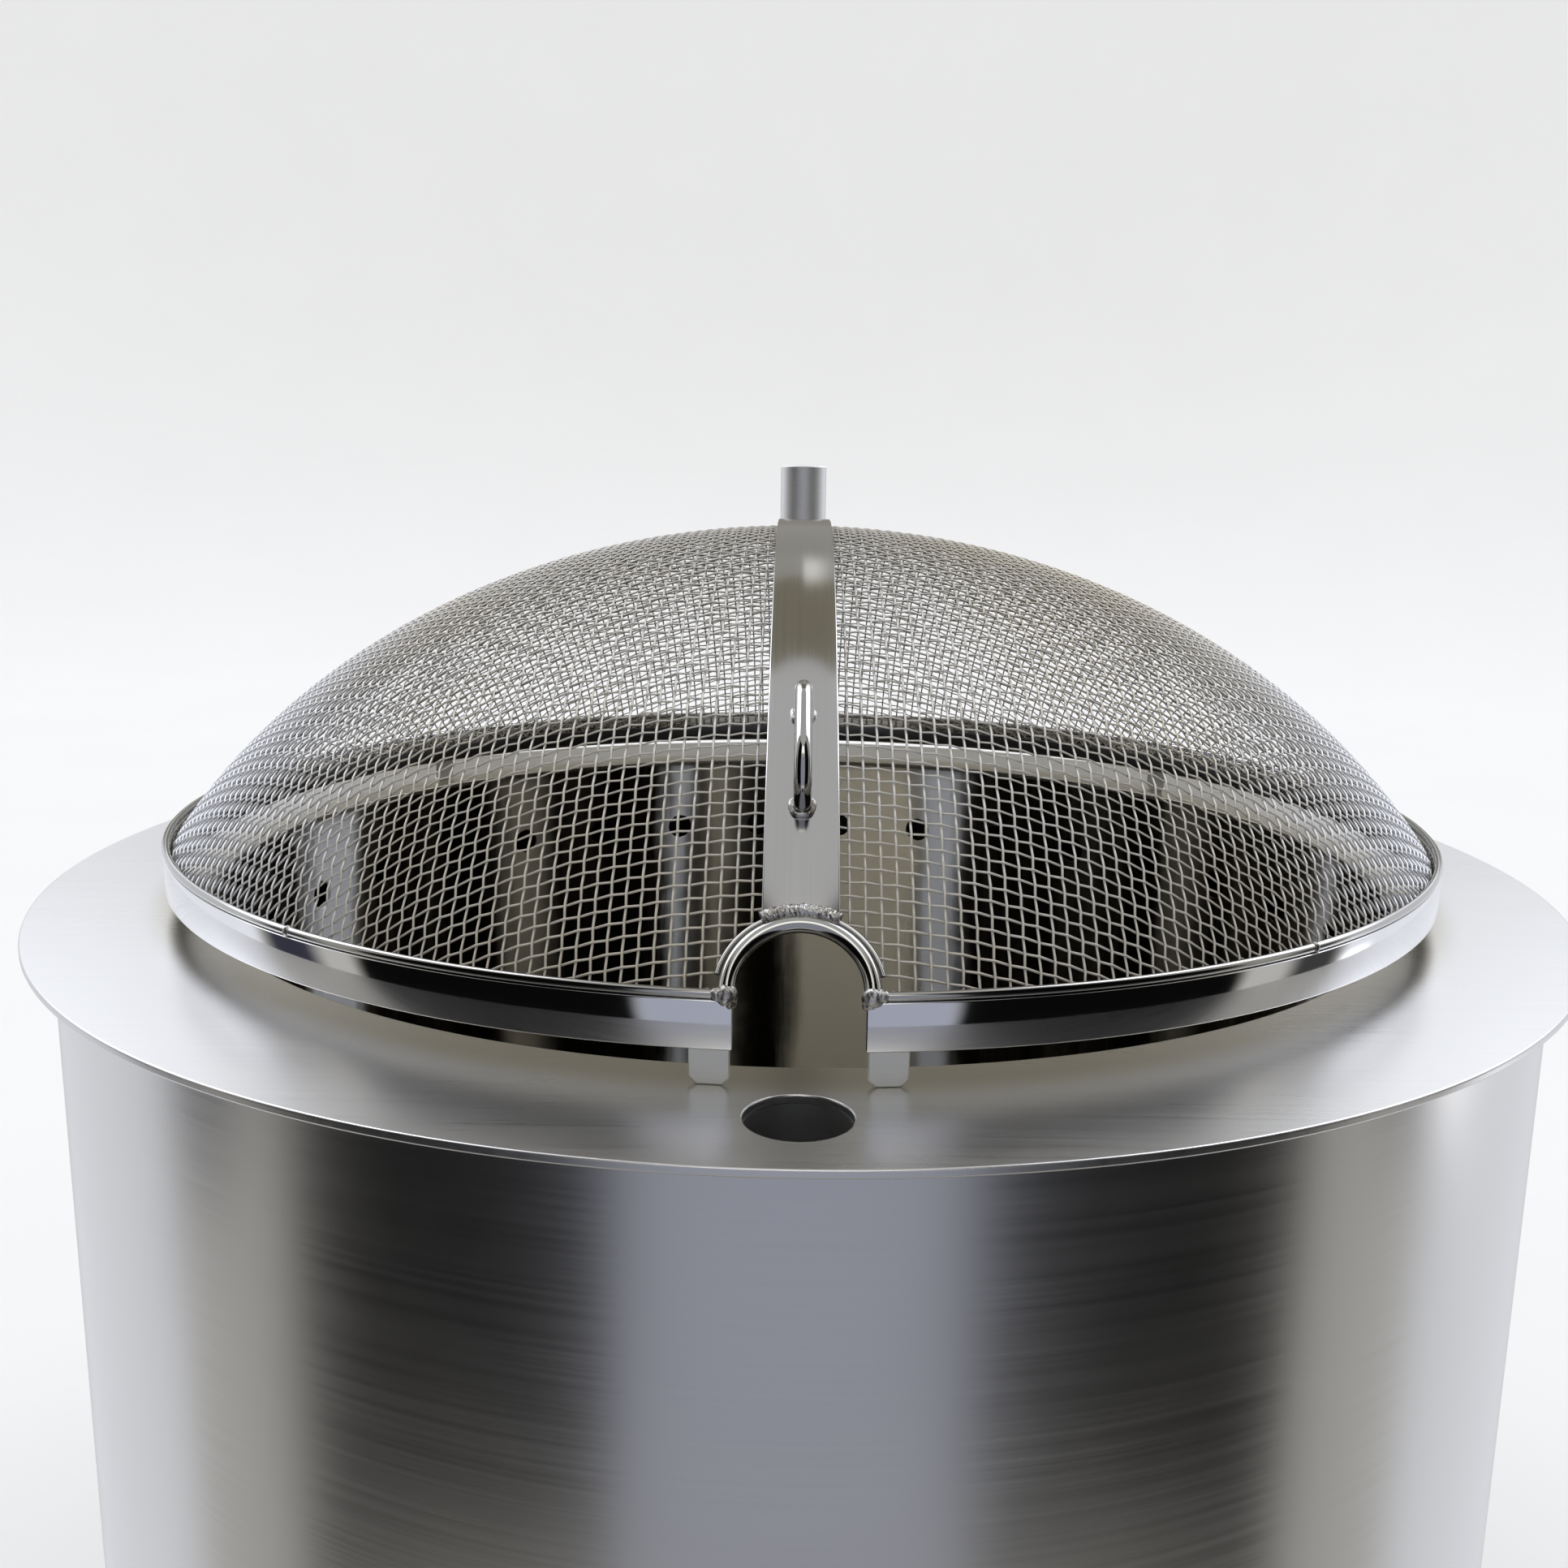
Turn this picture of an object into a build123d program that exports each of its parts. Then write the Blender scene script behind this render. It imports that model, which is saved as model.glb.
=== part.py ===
from build123d import *
from math import asin, cos, degrees, radians, sin, sqrt
import os

# Round double-wall steel fire pit with a lift-off domed spark screen.
# Origin: centre of the circle of feet, on the ground.  +Z up, front towards -Y.

# --- fire pit: heights above the ground, radii from the pit's axis ---
FLANGE_TOP = 400.0          # top face of the wide cooking flange
FLANGE_THICK = 3.0
FLANGE_R = 355.0
FLANGE_HOLE_R = 281.0
SHEET = 2.0                 # wall sheet
OUTER_R = 343.0             # outside of the outer wall
INNER_R = 287.0             # outside of the inner wall
PAD_HEIGHT, PAD_R, PAD_CIRCLE_R, PAD_COUNT = 8.0, 20.0, 305.0, 6
RING_THICK, RING_HOLE_R = 3.0, 265.0
FLOOR_Z, FLOOR_THICK = 60.0, 3.0
INTAKE_R, INTAKE_Z, INTAKE_COUNT = 12.5, 95.0, 24
HOLE_START = 7.5            # degrees from +X to the first low hole
PRIMARY_R, PRIMARY_Z, PRIMARY_COUNT = 8.0, 108.0, 24
SECONDARY_R, SECONDARY_DROP, SECONDARY_COUNT = 8.0, 47.0, 32
LEDGE_Z, LEDGE_THICK, LEDGE_HOLE_R = 125.0, 3.0, 262.0
GRATE_R, GRATE_THICK, GRATE_SLOT, GRATE_PITCH = 274.0, 4.0, 14.0, 30.0
GRATE_BORDER, GRATE_RIB = 26.0, 14.0
PAN_R, PAN_HEIGHT = 250.0, 30.0
SPACER_Z, SPACER_HEIGHT, SPACER_THICK, SPACER_COUNT = 150.0, 40.0, 3.0, 6

# --- accessory post and its two sockets ---
POST_CIRCLE_R = 320.0
POST_R, POST_WALL = 15.875, 2.0
POST_TOP = FLANGE_TOP + 201.0
SOCKET_BORE_R, SOCKET_R, SOCKET_LENGTH = 16.7, 19.0, 150.0
SOCKET_PLUG = 3.0
WASHER_R, WASHER_THICK = 15.5, 2.0
BRACKET_WIDTH, BRACKET_THICK, BRACKET_INSET, BRACKET_RISE = 60.0, 3.0, 296.0, 10.0
POST_PLUG_DEPTH = 12.0

# --- spark screen: heights above the flange where the name says RISE ---
BAND_R, BAND_THICK = 298.5, 3.0
BAND_RISE, BAND_HEIGHT = 11.6, 16.2
NOTCH_HALF = 21.0
RIM_ROD_R = 1.6
TACK_R, TACK_ANGLES = 2.4, (-37, 37, -110, 110)
FOOT_WIDTH, FOOT_CHAMFER, FOOT_GAP, FOOT_INSET = 13.0, 2.5, 0.6, 0.3
REAR_FOOT_ANGLE = 130.0
DOME_A, DOME_B, DOME_CENTRE_DROP = 333.7, 266.0, 100.0   # half axes of the dome's ellipse
DOME_POINTS = 10
MESH_THICK = 1.8
SKIRT_RISE = 14.0
CLAMP_THICK, CLAMP_RISE, CLAMP_HEIGHT, CLAMP_GAP_HALF = 2.5, 13.0, 9.5, 30.0
STRAP_WIDTH, STRAP_THICK, STRAP_LIFT = 25.0, 3.0, 0.1
ARCH_ROD_R, ARCH_HALF = 2.8, 22.8
ARCH_FOOT_R, ARCH_FOOT_RISE, ARCH_SLOPE = 295.2, 30.2, 50.3
BINDING_R, BINDING_START, BINDING_STOP = 0.8, 12.0, 168.0
ARCH_WELD_R, ARCH_WELD_OUT, ARCH_WELD_RISE = 4.0, 0.8, 1.4
BEAD_R, BEAD_SWEEP, BEAD_BITE = 2.1, 25.0, 0.2
STRAP_END_GAP = 4.0         # from the arch rod to the strap's cut end
HANDLE_ROD_R, HANDLE_STAND, HANDLE_BEND = 3.0, 20.0, 12.0
HANDLE_TOP_R, HANDLE_LOW_R = 219.0, 252.0
COLLAR_R, COLLAR_HEIGHT, COLLAR_GAP = 4.6, 3.5, 0.1
SET_IN = 1.0                # how far the loop's ends start below the strap's face

# --- clearances and blanks ---
GAP = 0.1
CUTTER_LENGTH = 80.0        # through both walls
RING_BLANK = 100.0          # along a radius, wider than the gap between the walls
FRONT_BLANK = 120.0
DOME_BLANK = 400.0

BAND_Z = FLANGE_TOP + BAND_RISE
BAND_TOP = BAND_Z + BAND_HEIGHT
BAND_INNER_R = BAND_R - BAND_THICK
DOME_Z = FLANGE_TOP - DOME_CENTRE_DROP
FLANGE_UNDER = FLANGE_TOP - FLANGE_THICK
SOCKET_FLOOR = FLANGE_UNDER - SOCKET_LENGTH
WALL_GAP_R = (OUTER_R + INNER_R) / 2
ARCH_BIND_HALF = ARCH_HALF + ARCH_ROD_R + BINDING_R + GAP
MESH_NOTCH = ARCH_BIND_HALF + BINDING_R + GAP
STRAP_NOTCH = ARCH_HALF + ARCH_ROD_R + STRAP_END_GAP
STRAP_TOP_OFFSET = MESH_THICK / 2 + STRAP_LIFT + STRAP_THICK


def disc(radius, height, z=0.0, x=0.0, y=0.0):
    """Upright solid cylinder whose lower face is at z."""
    return Pos(x, y, z) * Cylinder(radius, height, align=(Align.CENTER, Align.CENTER, Align.MIN))


def tube(outer, inner, height, z=0.0, x=0.0, y=0.0):
    """Upright tube whose lower face is at z."""
    return disc(outer, height, z, x, y) - disc(inner, height, z, x, y)


def around(count, start=0.0):
    """Angles in degrees of evenly spaced copies about Z."""
    return [start + 360.0 * i / count for i in range(count)]


def radial_holes(radius, z, count, start):
    """Round cutters that lie along radii and pass through both walls."""
    cutter = Cylinder(radius, CUTTER_LENGTH)
    return [Rot(0, 0, a) * Pos(WALL_GAP_R, 0, z) * Rot(0, 90, 0) * cutter for a in around(count, start)]


def front_cut(half_width):
    """Tall box that opens a ring at the front over |x| < half_width."""
    return Pos(0, -BAND_R, FLANGE_TOP) * Box(2 * half_width, FRONT_BLANK, FRONT_BLANK)


def dome_height(radius, offset=0.0):
    """Height of the dome at a radius, on the ellipse grown by offset."""
    return DOME_Z + (DOME_B + offset) * sqrt(1 - (radius / (DOME_A + offset)) ** 2)


def dome_shell(inner_offset, outer_offset, edge_r_inner, edge_r_outer, skirt_z):
    """Turned elliptical shell between two offsets, with a straight skirt down to skirt_z."""
    def arc(offset, edge_r):
        steps = [i / DOME_POINTS for i in range(DOME_POINTS + 1)]
        radii = [edge_r * sin(radians(90 * (1 - step))) for step in steps]
        points = [(radius, dome_height(radius, offset)) for radius in radii]
        a, b = DOME_A + offset, DOME_B + offset
        rise = -b * edge_r / (a * sqrt(a**2 - edge_r**2))
        return Spline(points, tangents=[(-1, -rise), (-1, 0)])

    outer, inner = arc(outer_offset, edge_r_outer), arc(inner_offset, edge_r_inner)
    profile = [outer, Line(outer @ 1, inner @ 1), inner]
    profile += [Polyline(inner @ 0, (edge_r_inner, skirt_z), (edge_r_outer, skirt_z), outer @ 0)]
    return revolve(Plane.XZ * make_face(profile), Axis.Z)


def arch_plane():
    """Plane of the notch arch: local X is the row's X, local Y runs up the dome, origin between its feet."""
    slope = radians(ARCH_SLOPE)
    origin = (0, -ARCH_FOOT_R, FLANGE_TOP + ARCH_FOOT_RISE)
    return Plane(origin, x_dir=(1, 0, 0), z_dir=(0, -sin(slope), cos(slope)))


def arch_rod(half_width, rod_r, start=0.0, stop=180.0):
    """Round rod bent to a half circle in the arch plane."""
    path = arch_plane() * CenterArc((0, 0), half_width, start, stop - start)
    return sweep(Plane(path @ 0, z_dir=path % 0) * Circle(rod_r), path=path)


def arch_cutter(half_width):
    """Solid that opens the dome inside the arch and below it."""
    shape = Circle(half_width) + Pos(0, -half_width) * Rectangle(2 * half_width, 2 * half_width)
    return arch_plane() * extrude(shape, half_width / 2, both=True)


def strap_point(radius, stand):
    """Point in front of the strap's top face, standing off along the dome's normal."""
    a, b = DOME_A + STRAP_TOP_OFFSET, DOME_B + STRAP_TOP_OFFSET
    z = b * sqrt(1 - (radius / a) ** 2)
    normal = Vector(0, -radius / a**2, z / b**2).normalized()
    return Vector(0, -radius, DOME_Z + z) + normal * stand, normal


# --- fire pit ---

def foot_pads():
    return [Rot(0, 0, a) * disc(PAD_R, PAD_HEIGHT, 0, PAD_CIRCLE_R) for a in around(PAD_COUNT)]


def base_ring():
    return tube(OUTER_R, RING_HOLE_R, RING_THICK, PAD_HEIGHT)


def outer_wall():
    z = PAD_HEIGHT + RING_THICK
    wall = tube(OUTER_R, OUTER_R - SHEET, FLANGE_UNDER - z, z)
    return wall - radial_holes(INTAKE_R, INTAKE_Z, INTAKE_COUNT, HOLE_START)


def bottom_plate():
    return disc(OUTER_R - SHEET, FLOOR_THICK, FLOOR_Z)


def inner_wall():
    z = FLOOR_Z + FLOOR_THICK
    wall = tube(INNER_R, INNER_R - SHEET, FLANGE_UNDER - z, z)
    wall = wall - radial_holes(PRIMARY_R, PRIMARY_Z, PRIMARY_COUNT, HOLE_START)
    half_step = 180.0 / SECONDARY_COUNT
    return wall - radial_holes(SECONDARY_R, FLANGE_TOP - SECONDARY_DROP, SECONDARY_COUNT, 90 + half_step)


def grate_ledge():
    return tube(INNER_R - SHEET, LEDGE_HOLE_R, LEDGE_THICK, LEDGE_Z)


def wall_spacers():
    ring = tube(OUTER_R - SHEET, INNER_R, SPACER_HEIGHT, SPACER_Z)
    fin = Pos(WALL_GAP_R, 0, SPACER_Z + SPACER_HEIGHT / 2) * Box(RING_BLANK, SPACER_THICK, SPACER_HEIGHT)
    return [ring & (Rot(0, 0, a) * fin) for a in around(SPACER_COUNT)]


def cooking_flange():
    plate = tube(FLANGE_R, FLANGE_HOLE_R, FLANGE_THICK, FLANGE_UNDER)
    for side in (-1, 1):
        plate = plate - disc(SOCKET_BORE_R, FLANGE_THICK, FLANGE_UNDER, 0, side * POST_CIRCLE_R)
    return plate


def socket_tube(side):
    return tube(SOCKET_R, SOCKET_BORE_R, SOCKET_LENGTH, SOCKET_FLOOR, 0, side * POST_CIRCLE_R)


def socket_plug(side):
    return disc(SOCKET_R, SOCKET_PLUG, SOCKET_FLOOR - SOCKET_PLUG, 0, side * POST_CIRCLE_R)


def socket_bracket(side):
    """Flat plate welded to the outer wall that steadies the socket's lower end."""
    z = SOCKET_FLOOR + BRACKET_RISE
    ring = tube(OUTER_R - SHEET, BRACKET_INSET, BRACKET_THICK, z)
    blank = Pos(0, side * WALL_GAP_R, z + BRACKET_THICK / 2) * Box(BRACKET_WIDTH, RING_BLANK, BRACKET_THICK)
    return (ring & blank) - disc(SOCKET_R, BRACKET_THICK, z, 0, side * POST_CIRCLE_R)


def ash_pan():
    z = FLOOR_Z + FLOOR_THICK
    return disc(PAN_R, PAN_HEIGHT, z) - disc(PAN_R - SHEET, PAN_HEIGHT - SHEET, z + SHEET)


def fire_grate():
    """Round plate with parallel slots on both sides of a centre rib."""
    plate = disc(GRATE_R, GRATE_THICK, LEDGE_Z + LEDGE_THICK)
    reach = GRATE_R - GRATE_BORDER
    rows = int(reach // GRATE_PITCH)
    slots = []
    for row in range(-rows, rows + 1):
        y = row * GRATE_PITCH
        end = sqrt(reach**2 - (abs(y) + GRATE_SLOT / 2) ** 2)
        length = end - GRATE_RIB / 2
        if length > 2 * GRATE_SLOT:
            for side in (-1, 1):
                middle = side * (GRATE_RIB + length) / 2 + side * GRATE_RIB / 4
                slot = extrude(SlotOverall(length - GRATE_RIB / 2, GRATE_SLOT), GRATE_THICK)
                slots += [Pos(middle, y, LEDGE_Z + LEDGE_THICK) * slot]
    return plate - slots


# --- accessory post ---

def post_washer():
    return disc(WASHER_R, WASHER_THICK, SOCKET_FLOOR, 0, POST_CIRCLE_R)


def accessory_post():
    z = SOCKET_FLOOR + WASHER_THICK
    return tube(POST_R, POST_R - POST_WALL, POST_TOP - z, z, 0, POST_CIRCLE_R)


def post_plug():
    return disc(POST_R - POST_WALL, POST_PLUG_DEPTH, POST_TOP - POST_PLUG_DEPTH, 0, POST_CIRCLE_R)


# --- spark screen ---

def screen_band():
    return tube(BAND_R, BAND_INNER_R, BAND_HEIGHT, BAND_Z) - front_cut(NOTCH_HALF)


def rim_rod():
    """Thin rod laid along the band's top edge, stopping short of the arch welds."""
    radius = BAND_R - BAND_THICK / 2
    gap = degrees(asin((ARCH_HALF + ARCH_WELD_R) / radius))
    path = Pos(0, 0, BAND_TOP + RIM_ROD_R) * CenterArc((0, 0), radius, -90 + gap, 360 - 2 * gap)
    return sweep(Plane(path @ 0, z_dir=path % 0) * Circle(RIM_ROD_R), path=path)


def rim_tack_welds():
    radius = BAND_R - BAND_THICK / 2
    dot = Pos(0, -radius, BAND_TOP + RIM_ROD_R) * Sphere(TACK_R)
    return [Rot(0, 0, a) * dot for a in TACK_ANGLES]


def mesh_dome():
    """Closed thin shell in the place of the woven wire, open inside the arch."""
    half = MESH_THICK / 2
    shell = dome_shell(-half, half, BAND_INNER_R - MESH_THICK, BAND_INNER_R, FLANGE_TOP + SKIRT_RISE)
    return shell - arch_cutter(MESH_NOTCH)


def mesh_clamp_ring():
    outer = BAND_INNER_R - MESH_THICK
    ring = tube(outer, outer - CLAMP_THICK, CLAMP_HEIGHT, FLANGE_TOP + CLAMP_RISE)
    return ring - front_cut(CLAMP_GAP_HALF)


def arch_welds():
    spot = (ARCH_HALF, -ARCH_FOOT_R - ARCH_WELD_OUT, BAND_TOP + ARCH_WELD_RISE)
    return [Pos(side * spot[0], spot[1], spot[2]) * Sphere(ARCH_WELD_R) for side in (-1, 1)]


def centre_strap():
    """Flat bar bent over the dome, from the notch arch to the band's rear."""
    low = MESH_THICK / 2 + STRAP_LIFT
    foot_z = BAND_TOP + 2 * RIM_ROD_R + 2 * GAP
    shell = dome_shell(low, low + STRAP_THICK, BAND_INNER_R, BAND_R, FLANGE_TOP)
    strip = Pos(0, 0, foot_z + DOME_BLANK / 2) * Box(STRAP_WIDTH, 2 * DOME_BLANK, DOME_BLANK)
    return (shell & strip) - arch_cutter(STRAP_NOTCH)


def strap_end_weld():
    radius = ARCH_HALF + ARCH_ROD_R + BEAD_R - BEAD_BITE
    return arch_rod(radius, BEAD_R, 90 - BEAD_SWEEP, 90 + BEAD_SWEEP)


def lift_handle(strap):
    """Round rod bent to a square-shouldered loop that stands off the strap."""
    feet = [strap_point(r, -SET_IN) for r in (HANDLE_LOW_R, HANDLE_TOP_R)]
    tops = [strap_point(r, HANDLE_STAND)[0] for r in (HANDLE_LOW_R, HANDLE_TOP_R)]
    path = FilletPolyline(feet[0][0], tops[0], tops[1], feet[1][0], radius=HANDLE_BEND)
    rod = sweep(Plane(path @ 0, z_dir=path % 0) * Circle(HANDLE_ROD_R), path=path)
    return rod - strap


def handle_collars(strap):
    """Short rings around both ends of the loop, where it meets the strap."""
    rings = []
    for radius in (HANDLE_LOW_R, HANDLE_TOP_R):
        point, normal = strap_point(radius, -SET_IN)
        plane = Plane(point, z_dir=normal)
        ring = extrude(plane * (Circle(COLLAR_R) - Circle(HANDLE_ROD_R + COLLAR_GAP)), COLLAR_HEIGHT)
        rings += [ring - strap]
    return rings


def screen_foot(angle, offset=0.0):
    """Tab under the band with chamfered lower corners; angle in degrees from the front."""
    ring = tube(BAND_R - FOOT_INSET, BAND_INNER_R - FOOT_INSET, BAND_RISE, FLANGE_TOP)
    face = Pos(0, BAND_RISE / 2) * Rectangle(FOOT_WIDTH, BAND_RISE)
    face = chamfer(face.vertices().group_by(Axis.Y)[0], FOOT_CHAMFER)
    blank = Plane((offset, -BAND_R, FLANGE_TOP), x_dir=(1, 0, 0), z_dir=(0, -1, 0)) * face
    return Rot(0, 0, angle) * (ring & extrude(blank, 4 * BAND_THICK, both=True))


def build():
    strap = centre_strap()
    front = NOTCH_HALF + FOOT_GAP + FOOT_WIDTH / 2
    return {
        "foot_pads": foot_pads(),
        "base_ring": base_ring(),
        "outer_wall": outer_wall(),
        "bottom_plate": bottom_plate(),
        "inner_wall": inner_wall(),
        "grate_ledge": grate_ledge(),
        "wall_spacers": wall_spacers(),
        "cooking_flange": cooking_flange(),
        "front_post_socket": socket_tube(-1),
        "rear_post_socket": socket_tube(1),
        "front_socket_plug": socket_plug(-1),
        "rear_socket_plug": socket_plug(1),
        "front_socket_bracket": socket_bracket(-1),
        "rear_socket_bracket": socket_bracket(1),
        "ash_pan": ash_pan(),
        "fire_grate": fire_grate(),
        "post_washer": post_washer(),
        "accessory_post": accessory_post(),
        "post_plug": post_plug(),
        "screen_band": screen_band(),
        "rim_rod": rim_rod(),
        "rim_tack_welds": rim_tack_welds(),
        "mesh_dome": mesh_dome(),
        "mesh_clamp_ring": mesh_clamp_ring(),
        "notch_arch": arch_rod(ARCH_HALF, ARCH_ROD_R),
        "arch_binding": arch_rod(ARCH_BIND_HALF, BINDING_R, BINDING_START, BINDING_STOP),
        "arch_welds": arch_welds(),
        "centre_strap": strap,
        "strap_end_weld": strap_end_weld(),
        "lift_handle": lift_handle(strap),
        "handle_collars": handle_collars(strap),
        "screen_foot_front_left": screen_foot(0, -front),
        "screen_foot_front_right": screen_foot(0, front),
        "screen_foot_rear_left": screen_foot(-REAR_FOOT_ANGLE),
        "screen_foot_rear_right": screen_foot(REAR_FOOT_ANGLE),
    }


def solids_of(shape):
    """All the solids in a shape, or in a list of shapes."""
    if isinstance(shape, (list, tuple)):
        return [solid for item in shape for solid in solids_of(item)]
    return list(shape.solids())


if __name__ == "__main__":
    os.makedirs("parts", exist_ok=True)
    for node, shape in build().items():
        solids = solids_of(shape)
        export_step(solids[0] if len(solids) == 1 else Compound(children=solids), f"parts/{node}.step")
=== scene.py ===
"""Double-wall steel fire pit with a lift-off domed spark screen: visible pieces, finishes and stage."""
from math import ceil, cos, pi, radians, sin, sqrt

import bmesh
import bpy
import numpy as np
from bpy.props import FloatProperty, FloatVectorProperty, IntProperty, PointerProperty
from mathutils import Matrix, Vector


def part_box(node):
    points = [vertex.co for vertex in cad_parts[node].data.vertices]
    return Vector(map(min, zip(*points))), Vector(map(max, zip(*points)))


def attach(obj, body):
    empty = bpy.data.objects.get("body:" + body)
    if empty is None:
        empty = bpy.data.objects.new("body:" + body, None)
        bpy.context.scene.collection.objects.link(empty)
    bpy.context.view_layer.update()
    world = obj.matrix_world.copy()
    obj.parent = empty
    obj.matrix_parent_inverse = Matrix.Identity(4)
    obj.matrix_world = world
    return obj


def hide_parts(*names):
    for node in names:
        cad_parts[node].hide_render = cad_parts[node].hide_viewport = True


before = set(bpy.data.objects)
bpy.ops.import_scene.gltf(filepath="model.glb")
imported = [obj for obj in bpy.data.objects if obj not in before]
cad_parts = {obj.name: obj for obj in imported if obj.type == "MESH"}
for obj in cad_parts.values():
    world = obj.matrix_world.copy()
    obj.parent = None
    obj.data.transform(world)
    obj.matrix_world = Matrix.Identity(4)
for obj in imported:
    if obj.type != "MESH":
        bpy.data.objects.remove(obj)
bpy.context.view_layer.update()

bl_info = {
    "name": "Fire pit with spark screen",
    "version": (1, 0, 0),
    "blender": (4, 5, 0),
    "location": "View3D > Sidebar > Fire pit",
    "description": "Builds the visible pieces of a round fire pit and its woven spark screen",
    "category": "Object",
}

FLANGE_LOW, FLANGE_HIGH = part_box("cooking_flange")
FLANGE_TOP = FLANGE_HIGH.z
FLANGE_HOLE_R = 0.281
OUTER_LOW, OUTER_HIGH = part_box("outer_wall")
INNER_LOW, INNER_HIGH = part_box("inner_wall")
BAND_LOW, BAND_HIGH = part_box("screen_band")
ROD_LOW, ROD_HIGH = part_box("rim_rod")
ARCH_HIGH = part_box("notch_arch")[1]
STRAP_LOW, STRAP_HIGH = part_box("centre_strap")
POST_LOW, POST_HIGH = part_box("accessory_post")
SOCKET_CIRCLE_R = (POST_LOW.y + POST_HIGH.y) / 2
SOCKET_BORE_R = 0.0167

SHEET = 0.002
WALL_COLUMNS = 192                          # quads round a wall, a multiple of every hole count
RING_COLUMNS, HOLE_COLUMNS, RING_ROWS = 240, 14, 14   # quads of the flange: round, beside a hole, across
HOLE_LOOPS = 6                              # loops of points from a cell's border to its hole's rim
WELD_SPACING = 2e-6                         # points of one piece closer than this are one point

# Rows of round holes: how many, the height of their centres, and degrees from +X to the first one's centre.
INTAKE_ROW = (24, 0.095, 7.5)
LOW_AIR_ROW = (24, 0.108, 7.5)
HIGH_AIR_ROW = (32, FLANGE_TOP - 0.047, 90 + 180 / 32)

POST_WALL, POST_EDGE, POST_RECESS = 0.002, 0.0005, 0.0008
DOME_A, DOME_B = 0.3337, 0.2660             # half axes of the dome's ellipse
DOME_CENTRE_Z = FLANGE_TOP - 0.100
DOME_CENTRE = np.array([0, 0, DOME_CENTRE_Z])
DOME_SCALE = np.array([DOME_A**-2, DOME_A**-2, DOME_B**-2])
NET_REACH, NET_EDGE = 0.325, 0.318          # how far out the weave's first wires and crossings go
MESH_EDGE_R = 0.2943
MESH_RISE = 0.0145                          # lowest wire above the flange
MERIDIAN_STEPS, NEWTON_STEPS = 6000, 6

HOOP_STEPS = 361
BAND_THICK, BAND_EDGE = 0.003, 0.0006
CLAMP_THICK, CLAMP_EDGE, CLAMP_GAP = 0.0025, 0.0005, 0.030
TACK_R, TACK_ANGLES = 0.0023, (-37, 37, -110, 110)
NOTCH_HALF = 0.021
ARCH_ROD_R = 0.0028
ARCH_HALF = ARCH_HIGH.x - ARCH_ROD_R
ARCH_FOOT = np.array([0.0, -0.2952, FLANGE_TOP + 0.0302])
ARCH_SLOPE = radians(50.3)
ARCH_RISE = np.array([0, cos(ARCH_SLOPE), sin(ARCH_SLOPE)])
ARCH_OUT = np.array([0, -sin(ARCH_SLOPE), cos(ARCH_SLOPE)])
ARCH_STEPS = 61
BINDING_START, BINDING_STOP = 12, 168       # degrees along the arch
BINDING_R = 0.0008
BINDING_HALF = ARCH_HALF + ARCH_ROD_R + BINDING_R + 0.0001
STRAP_THICK = 0.003
STRAP_INNER = 0.0010                        # strap's inner face above the dome's middle surface
STRAP_OUTER = STRAP_INNER + STRAP_THICK
STRAP_EDGE, STRAP_STEPS = 0.0005, 181
STRAP_ARCH_GAP = ARCH_HALF + ARCH_ROD_R + 0.004
BEAD_R, BEAD_SIDES, BEAD_STEPS = 0.0028, 32, 240
BEAD_START, BEAD_STOP = 63, 117             # degrees along the arch
HANDLE_ROD_R = 0.003
HANDLE_TOP_R, HANDLE_LOW_R, HANDLE_STAND, HANDLE_BEND = 0.219, 0.252, 0.020, 0.012
HANDLE_BITE = 0.001                         # how far the rod's ends go into the strap
COLLAR_REACH, COLLAR_R = 0.0036, 0.0011
FOOT_WIDTH, FOOT_CHAMFER, FOOT_GAP, REAR_FOOT_ANGLE = 0.013, 0.0025, 0.0006, 130.0
FOOT_EDGE, FOOT_INSET = 0.0004, 0.0003
FLOOR_FLAT, FLOOR_BEND, FLOOR_RIM, FLOOR_GLOW = 4.0, 2.5, 9.0, 0.44


# ---------------------------------------------------------------- settings

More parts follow.
